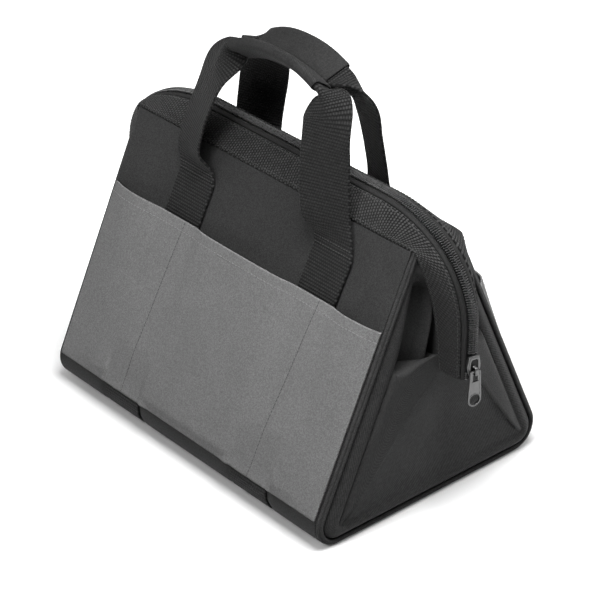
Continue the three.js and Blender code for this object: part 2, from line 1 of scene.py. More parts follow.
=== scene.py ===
"""A close-top tool bag of black cloth with grey pockets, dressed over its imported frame.

Sizes inside the classes are millimetres, and meshes are made in metres. X runs along the bag,
the front faces -Y and Z is up from the floor.
"""
from __future__ import annotations

import logging
import math
from abc import ABC, abstractmethod
from collections.abc import Sequence
from dataclasses import dataclass, field
from enum import Enum

import bpy
import numpy as np
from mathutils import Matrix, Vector


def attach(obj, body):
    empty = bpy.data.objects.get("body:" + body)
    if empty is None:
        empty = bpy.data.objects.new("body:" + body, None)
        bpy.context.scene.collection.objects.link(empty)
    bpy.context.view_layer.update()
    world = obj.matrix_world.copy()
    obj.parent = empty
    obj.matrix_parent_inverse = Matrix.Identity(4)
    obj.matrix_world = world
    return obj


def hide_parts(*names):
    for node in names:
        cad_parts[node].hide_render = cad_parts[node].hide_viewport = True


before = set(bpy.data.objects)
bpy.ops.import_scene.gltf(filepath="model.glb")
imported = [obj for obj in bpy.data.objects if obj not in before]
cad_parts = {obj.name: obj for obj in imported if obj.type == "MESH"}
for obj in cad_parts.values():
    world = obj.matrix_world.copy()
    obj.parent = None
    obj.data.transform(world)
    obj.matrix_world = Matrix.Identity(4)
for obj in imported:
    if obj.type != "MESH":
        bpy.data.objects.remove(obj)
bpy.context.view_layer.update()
LOG = logging.getLogger("tool_bag")
WEAVE_LAYER = "weave"
MM = 0.001
Array = np.ndarray
Colour = tuple[float, float, float]


class Slot(Enum):
    """Material slots of the record."""

    CLOTH = "cloth"
    POCKET = "pocket"
    WEBBING = "webbing"
    SLEEVE = "sleeve"
    ZIP = "zip"
    METAL = "metal"


class Body(Enum):
    """Bodies that a piece rides on."""

    BAG = "bag"
    PULL = "pull"


class Labelled(Enum):
    """Choice whose name labels nodes and pieces, and whose value is a direction along an axis."""

    @property
    def label(self) -> str:
        """Name used in nodes and pieces."""
        return self.name.lower()


class Side(Labelled):
    """Sloping wall that a handle or pocket belongs to, with its direction along Y."""

    FRONT = -1
    BACK = 1


class End(Labelled):
    """End of the bag, with its direction along X."""

    LEFT = -1
    RIGHT = 1


# Number helpers


def smooth(value: Array | float, low: float, high: float) -> Array:
    """Ease from 0 at low to 1 at high."""
    t = np.clip((np.asarray(value, float) - low) / (high - low), 0.0, 1.0)
    return t * t * (3.0 - 2.0 * t)


def mix(start: Array | float, end: Array | float, share: Array | float) -> Array:
    """Blend two values by a share."""
    return start + (end - start) * share


def unit(vectors: Array) -> Array:
    """Scale vectors to length 1."""
    return vectors / np.maximum(np.linalg.norm(vectors, axis=-1, keepdims=True), 1e-12)


def dot(first: Array, second: Array) -> Array:
    """Dot products along the last axis, kept as a column."""
    return np.sum(first * second, axis=-1, keepdims=True)


def stops(start: float, stop: float, step: float, edge: float = 0.6) -> Array:
    """Space stops evenly, with one more close to each end for a crisp edge.

    Args:
        start: First stop.
        stop: Last stop.
        step: Largest distance between stops.
        edge: Distance of the extra stops from the ends.

    Returns:
        The stops in order.
    """
    count = max(math.ceil((stop - start) / step), 1)
    even = np.linspace(start, stop, count + 1)
    return np.concatenate(([start, start + edge], even[1:-1], [stop - edge, stop]))


def lengths(points: Array, axis: int) -> Array:
    """Measure a grid along one axis.

    Args:
        points: Grid of points.
        axis: 0 or 1, the axis to run along.

    Returns:
        Mean distance from the grid's start at each stop of that axis.
    """
    steps = np.linalg.norm(np.diff(points, axis=axis), axis=-1).mean(axis=1 - axis)
    return np.concatenate(([0.0], np.cumsum(steps)))


def weave_of(points: Array) -> Array:
    """Mean lengths across and along the cloth at the points of a grid."""
    return np.stack(np.meshgrid(lengths(points, 1), lengths(points, 0)), axis=-1)


def by_length(line: Array, pitch: float) -> Array:
    """Find evenly spaced places along a line of points.

    Args:
        line: Points in order.
        pitch: Distance between places.

    Returns:
        The places as indices that may lie between points.
    """
    run = np.concatenate(([0.0], np.cumsum(np.linalg.norm(np.diff(line, axis=0), axis=1))))
    count = max(int(run[-1] / pitch), 1)
    wanted = (np.arange(count) + 0.5) * run[-1] / count
    return np.interp(wanted, run, np.arange(len(line)))


def read_line(values: Array, places: Array) -> Array:
    """Read rows of values at places that may lie between them."""
    index = np.arange(len(values))
    return np.stack([np.interp(places, index, values[:, k]) for k in range(values.shape[1])], axis=1)


class Table:
    """A short table of sizes whose columns are read smoothly between its rows."""

    def __init__(self, columns: str, *rows: tuple[float, ...]) -> None:
        """Keep the rows under their column names; the first column is the key."""
        self.columns = columns.split()
        self.rows = np.array(rows, float)

    def read(self, column: str, at: Array | float) -> Array:
        """Read a column between the rows.

        Args:
            column: Name of the column.
            at: Values of the first column to read at.

        Returns:
            Smoothly joined values, level past the table's ends.
        """
        keys = self.rows[:, 0]
        values = self.rows[:, self.columns.index(column)]
        last = len(keys) - 1
        low = np.maximum(np.arange(last + 1) - 1, 0)
        high = np.minimum(np.arange(last + 1) + 1, last)
        slopes = (values[high] - values[low]) / (keys[high] - keys[low])
        i = np.clip(np.searchsorted(keys, at, side="right") - 1, 0, last - 1)
        span = keys[i + 1] - keys[i]
        t = np.clip((at - keys[i]) / span, 0.0, 1.0)
        rest = 1.0 - t
        start = values[i] * (1 + 2 * t) * rest**2 + slopes[i] * span * t * rest**2
        end = values[i + 1] * (3 - 2 * t) * t**2 - slopes[i + 1] * span * t**2 * rest
        return start + end


class Ripple:
    """Soft unevenness of hanging cloth: a seeded sum of slow waves, from -1 to 1."""

    def __init__(self, seed: int, wave: float, waves: int = 7) -> None:
        """Draw the directions and phases of the waves.

        Args:
            seed: Seed of the draw.
            wave: Mean length of a wave in millimetres.
            waves: How many waves are added.
        """
        draw = np.random.default_rng(seed)
        turn = draw.uniform(0, 2 * math.pi, waves)
        rate = 2 * math.pi / (wave * draw.uniform(0.6, 1.6, waves))
        self.rates = np.stack([np.cos(turn) * rate, np.sin(turn) * rate])
        self.phases = draw.uniform(0, 2 * math.pi, waves)

    def at(self, u: Array, v: Array) -> Array:
        """Height of the unevenness at two lengths along the cloth."""
        phase = u[..., None] * self.rates[0] + v[..., None] * self.rates[1] + self.phases
        return np.sin(phase).sum(axis=-1) / math.sqrt(2 * len(self.phases)) / 1.6


# Meshes


@dataclass
class Patch:
    """Part of a mesh: points in millimetres, faces, and the weave's lengths at their corners."""

    points: Array
    quads: Array
    quad_weave: Array
    tris: Array = field(default_factory=lambda: np.zeros((0, 3), int))
    tri_weave: Array = field(default_factory=lambda: np.zeros((0, 3, 2)))


def grid_quads(rows: int, columns: int) -> Array:
    """Index the quads of a grid, turned towards rows x columns.

    Args:
        rows: Number of rows of points.
        columns: Number of columns.

    Returns:
        Corner indices of the quads.
    """
    index = np.arange(rows * columns).reshape(rows, columns)
    corners = [index[:-1, :-1], index[1:, :-1], index[1:, 1:], index[:-1, 1:]]
    return np.stack(corners, axis=-1).reshape(-1, 4)


def grid_normals(points: Array) -> Array:
    """Unit normals of a grid of points."""
    return unit(np.cross(np.gradient(points, axis=0), np.gradient(points, axis=1)))


def grid_area(points: Array) -> float:
    """Area of a grid of points in square metres."""
    diagonals = np.cross(points[1:, 1:] - points[:-1, :-1], points[1:, :-1] - points[:-1, 1:])
    return float(np.linalg.norm(diagonals, axis=-1).sum() / 2) * MM * MM


def sheet_patch(points: Array, weave: Array, below: float, above: float) -> Patch:
    """Close a sheet of goods between two offsets from a grid, with rounded edges.

    Args:
        points: Grid of points, rows by columns.
        weave: Lengths along the cloth at the grid's points.
        below: Offset of the lower face along the normal.
        above: Offset of the upper face.

    Returns:
        The closed sheet.
    """
    rows, columns = points.shape[:2]
    normals = grid_normals(points)
    out = np.zeros_like(points)
    out[0] += unit(points[0] - points[1])
    out[-1] += unit(points[-1] - points[-2])
    out[:, 0] += unit(points[:, 0] - points[:, 1])
    out[:, -1] += unit(points[:, -1] - points[:, -2])
    index = np.arange(rows * columns).reshape(rows, columns)
    loop = np.concatenate([index[:-1, 0], index[-1, :-1], index[:0:-1, -1], index[0, :0:-1]])
    middle = points + normals * (below + above) / 2 + unit(out) * (above - below) / 2
    rim = middle.reshape(-1, 3)[loop]
    total = rows * columns
    edge = np.arange(len(loop)) + 2 * total
    following = np.roll(np.arange(len(loop)), -1)
    top = grid_quads(rows, columns)
    upper = np.stack([loop[following], loop, edge, edge[following]], axis=1)
    lower = np.stack([edge[following], edge, loop + total, loop[following] + total], axis=1)
    quads = np.concatenate([top, top[:, ::-1] + total, upper, lower])
    faces = [points + normals * above, points + normals * below]
    flat = weave.reshape(-1, 2)
    flat = np.concatenate([flat, flat, flat[loop]])
    everything = np.concatenate([*(face.reshape(-1, 3) for face in faces), rim])
    return Patch(everything, quads, flat[quads])


def tube_faces(rings: int, sides: int) -> tuple[Array, Array, Array]:
    """Index the faces of a closed tube, whose two pole points follow its rings.

    Args:
        rings: Number of rings.
        sides: Points round a ring.

    Returns:
        Quads of the grid with its first column repeated, the tube's quads, and its caps' triangles.
    """
    wide = grid_quads(rings, sides + 1)
    quads = wide // (sides + 1) * sides + wide % (sides + 1) % sides
    around = np.arange(sides)
    after = np.roll(around, -1)
    last = (rings - 1) * sides
    pole = np.full(sides, rings * sides)
    first_cap = np.stack([pole, after, around], axis=1)
    last_cap = np.stack([pole + 1, around + last, after + last], axis=1)
    return wide, quads, np.concatenate([first_cap, last_cap])


def tube_patch(rings: Array) -> Patch:
    """Close a tube through rings of points.

    Args:
        rings: Rings by points round them, turned so that the faces look outwards.

    Returns:
        The closed tube with a cap on each end.
    """
    wide, quads, tris = tube_faces(*rings.shape[:2])
    weave = weave_of(np.concatenate([rings, rings[:, :1]], axis=1))
    points = np.concatenate([rings.reshape(-1, 3), rings[[0, -1]].mean(axis=1)])
    return Patch(points, quads, weave.reshape(-1, 2)[wide], tris, points[tris][..., :2])


def capsules(centres: Array, axes: Array, normals: Array, size: tuple[float, float, float]) -> Patch:
    """Lay small rounded bars, such as stitches or teeth.

    Args:
        centres: Middle of each bar.
        axes: Direction of each bar.
        normals: Direction that each bar's height points to.
        size: Length, width and height of a bar.

    Returns:
        All the bars as one part of a mesh.
    """
    sides = 8
    profile = np.array([(-0.46, 0.5), (-0.34, 0.9), (-0.12, 1.0), (0.12, 1.0), (0.34, 0.9), (0.46, 0.5)])
    turn = np.arange(sides) * 2 * math.pi / sides
    length, width, height = size
    along = np.repeat(profile[:, 0], sides) * length
    aside = np.outer(profile[:, 1], np.cos(turn)).ravel() * width / 2
    ahead = np.outer(profile[:, 1], np.sin(turn)).ravel() * height / 2
    along = np.concatenate([along, [-length / 2, length / 2]])
    aside = np.concatenate([aside, [0, 0]])
    ahead = np.concatenate([ahead, [0, 0]])
    axes = unit(axes)
    normals = unit(normals - axes * dot(normals, axes))
    across = np.cross(normals, axes)
    ways = ((axes, along), (across, aside), (normals, ahead))
    points = centres[:, None] + sum(way[:, None] * length_of[:, None] for way, length_of in ways)
    _, quads, tris = tube_faces(len(profile), sides)
    shift = np.arange(len(centres))[:, None, None] * points.shape[1]
    quads = (quads[None] + shift).reshape(-1, 4)
    tris = (tris[None] + shift).reshape(-1, 3)
    lie = np.stack([along, aside], axis=1)
    lie = (lie[None] + np.arange(len(centres))[:, None, None] * length).reshape(-1, 2)
    return Patch(points.reshape(-1, 3), quads, lie[quads], tris, lie[tris])


def stitch_row(line: Array, normals: Array, pitch: float, thread: float, fill: float = 0.68) -> Patch:
    """Sew a row of stitches along a line on a surface.

    Args:
        line: Points of the row.
        normals: Surface normals at the points.
        pitch: Distance from stitch to stitch.
        thread: Width of the thread.
        fill: Share of the pitch that a stitch takes.

    Returns:
        The stitches as one part of a mesh.
    """
    places = by_length(line, pitch)
    centres = read_line(line, places)
    axes = read_line(np.gradient(line, axis=0), places)
    facing = unit(read_line(normals, places))
    lift, height = thread * 0.15, thread * 0.8
    return capsules(centres + facing * lift, axes, facing, (pitch * fill, thread, height))


def link(name: str, data: bpy.types.ID) -> bpy.types.Object:
    """Put an object into the scene.

    Args:
        name: Name of the object.
        data: Its mesh, curve, camera or light.

    Returns:
        The new object.
    """
    piece = bpy.data.objects.new(name, data)
    bpy.context.scene.collection.objects.link(piece)
    return piece


def add_object(name: str, patches: Sequence[Patch]) -> bpy.types.Object:
    """Join parts of a mesh into one smooth object in the scene.

    Args:
        name: Name of the object.
        patches: Parts of its mesh.

    Returns:
        The new object.
    """
    starts = np.cumsum([0] + [len(patch.points) for patch in patches])
    points = np.concatenate([patch.points for patch in patches]) * MM
    quads = np.concatenate([patch.quads + start for patch, start in zip(patches, starts)])
    tris = np.concatenate([patch.tris + start for patch, start in zip(patches, starts)])
    quad_weave = np.concatenate([patch.quad_weave for patch in patches]).reshape(-1, 2)
    tri_weave = np.concatenate([patch.tri_weave for patch in patches]).reshape(-1, 2)
    mesh = bpy.data.meshes.new(name)
    mesh.from_pydata(points.tolist(), [], quads.tolist() + tris.tolist())
    weave = mesh.uv_layers.new(name=WEAVE_LAYER)
    weave.data.foreach_set("uv", (np.concatenate([quad_weave, tri_weave]) * MM).ravel())
    mesh.polygons.foreach_set("use_smooth", [True] * len(mesh.polygons))
    mesh.validate()
    mesh.update()
    return link(name, mesh)


# Finishes


def grey(level: float, warm: float = 0.0) -> Colour:
    """Turn a display grey from 0 to 255 into a linear colour, a little warm or cool."""
    linear = ((level / 255 + 0.055) / 1.055) ** 2.4
    return (linear * (1 + warm), linear, linear * (1 - warm))


class Value:
    """A number on a shader socket: expressions on it add Math nodes."""

    def __init__(self, shader: Shader, socket: bpy.types.NodeSocket) -> None:
        """Wrap an output socket of a shader's node."""
        self.shader = shader
        self.socket = socket

    def math(self, operation: str, *others: Value | float, first: Value | float | None = None) -> Value:
        """Add a Math node.

        Args:
            operation: The node's operation.
            others: Its further operands.
            first: Its first operand, where that isn't this value.

        Returns:
            The node's result.
        """
        operands = [self if first is None else first, *others]
        node = self.shader.node("ShaderNodeMath", {"operation": operation}, dict(enumerate(operands)))
        return Value(self.shader, node.outputs[0])

    def __add__(self, other: Value | float) -> Value:
        """Sum."""
        return self.math("ADD", other)

    __radd__ = __add__

    def __sub__(self, other: Value | float) -> Value:
        """Difference."""
        return self.math("SUBTRACT", other)

    def __rsub__(self, other: float) -> Value:
        """Difference from a number."""
        return self.math("SUBTRACT", self, first=other)

    def __mul__(self, other: Value | float) -> Value:
        """Product."""
        return self.math("MULTIPLY", other)

    __rmul__ = __mul__

    def __truediv__(self, other: Value | float) -> Value:
        """Quotient."""
        return self.math("DIVIDE", other)

    def __pow__(self, other: float) -> Value:
        """Power."""
        return self.math("POWER", other)

    def floor(self) -> Value:
        """Whole part."""
        return self.math("FLOOR")

    def wave(self) -> Value:
        """Rounded hump over each whole step, from 0 to 1."""
        return (self * math.pi).math("SINE").math("ABSOLUTE")

    def larger(self, other: Value | float) -> Value:
        """Larger of two values."""
        return self.math("MAXIMUM", other)

    def clamped(self) -> Value:
        """Value kept from 0 to 1."""
        return self.math("MAXIMUM", 0.0).math("MINIMUM", 1.0)


class Shader:
    """Builds the node tree of one material."""

    def __init__(self, name: str) -> None:
        """Start a material with an empty tree.

        Args:
            name: Name of the material.
        """
        self.material = bpy.data.materials.new(name)
        self.material.use_nodes = True
        self.tree = self.material.node_tree
        self.tree.nodes.clear()

    def node(
        self,
        kind: str,
        settings: dict[str, object] | None = None,
        sockets: dict[str | int, object] | None = None,
    ) -> bpy.types.Node:
        """Add a node.

        Args:
            kind: The node's type.
            settings: Its properties, set first.
            sockets: Values or links of its inputs by name or number.

        Returns:
            The new node.
        """
        node = self.tree.nodes.new(kind)
        for key, setting in (settings or {}).items():
            setattr(node, key, setting)
        for key, feed in (sockets or {}).items():
            if isinstance(feed, Value):
                self.tree.links.new(feed.socket, node.inputs[key])
            else:
                node.inputs[key].default_value = feed
        return node

    def value(self, node: bpy.types.Node, output: str | int = 0) -> Value:
        """Wrap one output of a node."""
        return Value(self, node.outputs[output])

    def weave(self) -> tuple[Value, Value, Value]:
        """Read the weave's layer.

        Returns:
            Lengths across and along the cloth in metres, and both as a vector.
        """
        layer = self.value(self.node("ShaderNodeUVMap", {"uv_map": WEAVE_LAYER}))
        parts = self.node("ShaderNodeSeparateXYZ", None, {0: layer})
        return self.value(parts, "X"), self.value(parts, "Y"), layer

    def place(self) -> Value:
        """Place on the object, in metres."""
        return self.value(self.node("ShaderNodeTexCoord"), "Object")

    def noise(self, where: Value, scale: float, detail: float = 2.0) -> Value:
        """Soft noise from 0 to 1 with a number of features a metre."""
        sockets = {"Vector": where, "Scale": scale, "Detail": detail}
        return self.value(self.node("ShaderNodeTexNoise", {"noise_dimensions": "3D"}, sockets))

    def speckle(self, u: Value, v: Value) -> Value:
        """One random number for each pair of whole steps."""
        cell = self.value(self.node("ShaderNodeCombineXYZ", None, {"X": u.floor(), "Y": v.floor()}))
        return self.value(self.node("ShaderNodeTexWhiteNoise", {"noise_dimensions": "2D"}, {"Vector": cell}))

    def colours(self, share: Value, dark: Colour, light: Colour) -> Value:
        """Mix two colours by a share."""
        sockets = {0: share, 6: (*dark, 1.0), 7: (*light, 1.0)}
        return self.value(self.node("ShaderNodeMix", {"data_type": "RGBA"}, sockets), 2)

    def bump(self, height: Value, strength: float, depth: float) -> Value:
        """Normal of a relief with the given depth in metres."""
        sockets = {"Strength": strength, "Distance": depth, "Height": height}
        return self.value(self.node("ShaderNodeBump", None, sockets))

    def surface(self, **sockets: object) -> bpy.types.Material:
        """Finish the material with one surface shader.

        Args:
            sockets: Its inputs, with underscores for spaces.

        Returns:
            The material.
        """
        named = {key.replace("_", " "): feed for key, feed in sockets.items()}
        shader = self.node("ShaderNodeBsdfPrincipled", None, named)
        self.node("ShaderNodeOutputMaterial", None, {"Surface": self.value(shader)})
        return self.material


@dataclass(frozen=True)
class Finish(ABC):
    """Look of a piece, between a dark and a light colour."""

    name: str
    dark: Colour
    light: Colour

    @abstractmethod
    def material(self) -> bpy.types.Material:
        """Build the material."""


@dataclass(frozen=True)
class PlainCloth(Finish):
    """Plain-woven cloth: crossing threads, each a little lighter or darker, soft mottling, and painted
    highlight and shade of the weave's relief.
    """

    thread: float = 0.62
    relief: float = 0.35
    mottle: float = 0.5
    roughness: float = 0.78
    sheen: float = 0.04
    wander_rate: float = 260.0
    cloud_rate: float = 34.0
    grain_rate: float = 900.0

    def material(self) -> bpy.types.Material:
        """Build the material.

        Returns:
            The new material.
        """
        shader = Shader(self.name)
        across, along, where = shader.weave()
        wander = (shader.noise(where, self.wander_rate) - 0.5) * 0.5
        u = across / (self.thread * MM) + wander
        v = along / (self.thread * MM) + wander
        warp = u.wave() * (0.5 + 0.5 * ((v + u.floor()) * math.pi).math("COSINE"))
        weft = v.wave() * (0.5 - 0.5 * ((u + v.floor()) * math.pi).math("COSINE"))
        height = warp.larger(weft)
        place = shader.place()
        cloud = shader.noise(place, self.cloud_rate, 4.0)
        grain = shader.noise(place, self.grain_rate, 1.0)
        # Painted highlight and shade: the weave's height lightens the threads' tops and darkens the gaps
        # between them. The speckle and grain are the threads' own uneven tone, and the cloud mottles the
        # colour at random.
        share = 0.15 + 0.5 * height + 0.55 * (shader.speckle(u, v) - 0.5) + 0.5 * (grain - 0.5)
        share = (share + self.mottle * (cloud - 0.5)).clamped()
        return shader.surface(
            Base_Color=shader.colours(share, self.dark, self.light),
            Roughness=self.roughness + 0.2 * (cloud - 0.5) - 0.1 * height,
            Specular_IOR_Level=0.25,
            Sheen_Weight=self.sheen,
            Sheen_Roughness=0.4,
            Normal=shader.bump(height + 0.4 * grain, self.relief, 0.4 * MM),
        )


@dataclass(frozen=True)
class RibbedWebbing(Finish):
    """Heavy webbing: rows across the strip, each broken into dashes that stagger from row to row, with
    painted highlight and shade on the ribs and, where low_shade is set, painted shade low on the strip.
    """

    row: float = 2.8
    dash: float = 2.1
    relief: float = 0.8
    roughness: float = 0.72
    # Painted shade low on the strip: below low_shade_from the pattern gives way to a flat, darker tone.
    low_shade: float = 0.0
    low_shade_from: float = 0.15
    low_shade_fade: float = 0.05
    wander_rate: float = 220.0
    fibre_rate: float = 1300.0
    cloud_rate: float = 30.0

    def material(self) -> bpy.types.Material:
        """Build the material.

        Returns:
            The new material.
        """
        shader = Shader(self.name)
        across, along, where = shader.weave()
        wander = (shader.noise(where, self.wander_rate) - 0.5) * 0.12
        row = along / (self.row * MM) + wander
        dash = across / (self.dash * MM) + 0.5 * row.floor() + wander
        height = row.wave() ** 0.7 * (0.3 + 0.7 * dash.wave() ** 0.6)
        place = shader.place()
        fibre = shader.noise(place, self.fibre_rate)
        cloud = shader.noise(place, self.cloud_rate, 3.0)
        # Painted highlight and shade: the ribs' height lightens their tops and darkens the gaps between them.
        # The speckle and fibre are the yarn's own uneven tone, and the cloud mottles the colour at random.
        share = 1.5 * height - 0.6 + 0.22 * (shader.speckle(dash, row) - 0.5)
        share = (share + 0.25 * (fibre - 0.5) + 0.3 * (cloud - 0.5)).clamped()
        # Painted shade where the band runs down the tails: low on the strip the weave is drawn flatter and
        # darker.
        rise = shader.value(shader.node("ShaderNodeSeparateXYZ", None, {0: place}), "Z")
        low_shade_share = self.low_shade * (1.0 - ((rise - self.low_shade_from) / self.low_shade_fade).clamped())
        share = share * (1.0 - low_shade_share) + low_shade_share * (0.22 + 0.2 * (fibre - 0.5) + 0.2 * (height - 0.5))
        return shader.surface(
            Base_Color=shader.colours(share, self.dark, self.light),
            Roughness=self.roughness + 0.25 * (fibre - 0.5),
            Specular_IOR_Level=0.25,
            Sheen_Weight=0.03,
            Sheen_Roughness=0.4,
            Normal=shader.bump(height + 0.2 * fibre, self.relief, 0.7 * MM),
        )


@dataclass(frozen=True)
class Moulded(Finish):
    """Glossy nylon of the zip's coil, with faint draw marks."""

    roughness: float = 0.3
    cloud_rate: float = 700.0

    def material(self) -> bpy.types.Material:
        """Build the material.

        Returns:
            The new material.
        """
        shader = Shader(self.name)
        cloud = shader.noise(shader.place(), self.cloud_rate, 3.0)
        return shader.surface(
            Base_Color=shader.colours(cloud.clamped(), self.dark, self.light),
            Roughness=self.roughness + 0.3 * (cloud - 0.5),
            Specular_IOR_Level=0.6,
            Normal=shader.bump(cloud, 0.15, 0.1 * MM),
        )


@dataclass(frozen=True)
class Gunmetal(Finish):
    """Dark plated zinc, satin, with fine scuffs that are brighter and rougher."""

    roughness: float = 0.36
    cloud_rate: float = 260.0
    scuff_rate: float = 1800.0

    def material(self) -> bpy.types.Material:
        """Build the material.

        Returns:
            The new material.
        """
        shader = Shader(self.name)
        place = shader.place()
        cloud = shader.noise(place, self.cloud_rate, 4.0)
        scuff = (shader.noise(place, self.scuff_rate) - 0.55) * 4.0
        share = (cloud + 0.3 * scuff.clamped()).clamped()
        return shader.surface(
            Base_Color=shader.colours(share, self.dark, self.light),
            Metallic=0.85,
            Roughness=self.roughness + 0.3 * (cloud - 0.5) + 0.1 * scuff.clamped(),
            Normal=shader.bump(cloud, 0.1, 0.15 * MM),
        )


@dataclass(frozen=True)
class TwistedThread(Finish):
    """Sewing thread whose twist is painted as slanting light and dark: painted highlight on the tops of the
    plies and painted shade between them.
    """

    twist: float = 0.45
    slant: float = 0.7

    def material(self) -> bpy.types.Material:
        """Build the material.

        Returns:
            The new material.
        """
        shader = Shader(self.name)
        across, along, _ = shader.weave()
        # Painted highlight and shade: the twist's wave lightens each ply's top and darkens the groove between
        # plies.
        twist = ((across + along * self.slant) / (self.twist * MM)).wave()
        return shader.surface(
            Base_Color=shader.colours(twist, self.dark, self.light),
            Roughness=0.7 - 0.15 * twist,
            Sheen_Weight=0.1,
            Normal=shader.bump(twist, 0.4, 0.1 * MM),
        )


class Finishes:
    """The bag's finishes, each made into a material once."""

    CLOTH = PlainCloth("black_cloth", grey(34), grey(66))
    PIPING = PlainCloth("piping_cloth", grey(36), grey(76), thread=0.55)
    POCKET = PlainCloth("grey_cloth", grey(102), grey(146), mottle=0.3)
    SLEEVE = PlainCloth("sleeve_cloth", grey(24), grey(52), thread=0.7)
    TAPE = PlainCloth("zip_tape_cloth", grey(22), grey(48), thread=0.5)
    WEBBING = RibbedWebbing("handle_webbing", grey(4), grey(52), row=2.4, dash=2.1)
    # The band carries painted shade low down, where it runs down the tails.
    BAND = RibbedWebbing("band_webbing", grey(2), grey(75), row=2.3, dash=2.3, relief=1.0, low_shade=0.7)
    COIL = Moulded("coil_nylon", grey(18), grey(80))
    METAL = Gunmetal("gunmetal", grey(80), grey(112))
    # Painted shade: near-black metal for the thin plate laid in the slider's well.
    SHADE = Gunmetal("well_shade_metal", grey(14), grey(26))
    BLACK_THREAD = TwistedThread("black_thread", grey(24), grey(70))
    GREY_THREAD = TwistedThread("grey_thread", grey(105), grey(165))

    @staticmethod
    def of(finish: Finish) -> bpy.types.Material:
        """Material of a finish, built when it is first asked for."""
        return bpy.data.materials.get(finish.name) or finish.material()


def add_piece(
    name: str,
    patches: Sequence[Patch],
    finish: Finish,
    slot: Slot,
    nodes: Sequence[str] = (),
    body: Body = Body.BAG,
) -> bpy.types.Object:
    """Add a piece of the bag, dress it, hang it on its body, and hide the solids that it stands for.

    Args:
        name: Name of the piece.
        patches: Parts of its mesh.
        finish: Its finish.
        slot: Material slot of the record that it belongs to; not used.
        nodes: Solids that it stands for.
        body: Body that it rides on.

    Returns:
        The new piece.
    """
    piece = add_object(name, patches)
    piece.data.materials.append(Finishes.of(finish))
    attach(piece, body.value)
    if nodes:
        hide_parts(*nodes)
    LOG.info("%s: %d faces", piece.name, len(piece.data.polygons))
    return piece


# Forms that several pieces share


@dataclass(frozen=True)
class Goods:
    """Thicknesses and widths of the goods, and the thread they are sewn with."""

    thread: float = 0.5
    gap: float = 0.3
    cloth: float = 1.3
    end_cloth: float = 1.2
    webbing: float = 1.8
    webbing_width: float = 38.0
    band: float = 1.8
    piping: float = 4.6

    @property
    def over_strap(self) -> float:
        """Stand of cloth that lies over a strap."""
        return self.webbing + self.gap


@dataclass(frozen=True)
class Strap:
    """Webbing strap: where it crosses the base and the tops of the walls."""

    name: str
    foot: float
    front: float
    back: float


GOODS = Goods()
STRAPS = (Strap("left", -72.0, -66.0, -63.0), Strap("right", 75.0, 84.0, 67.0))


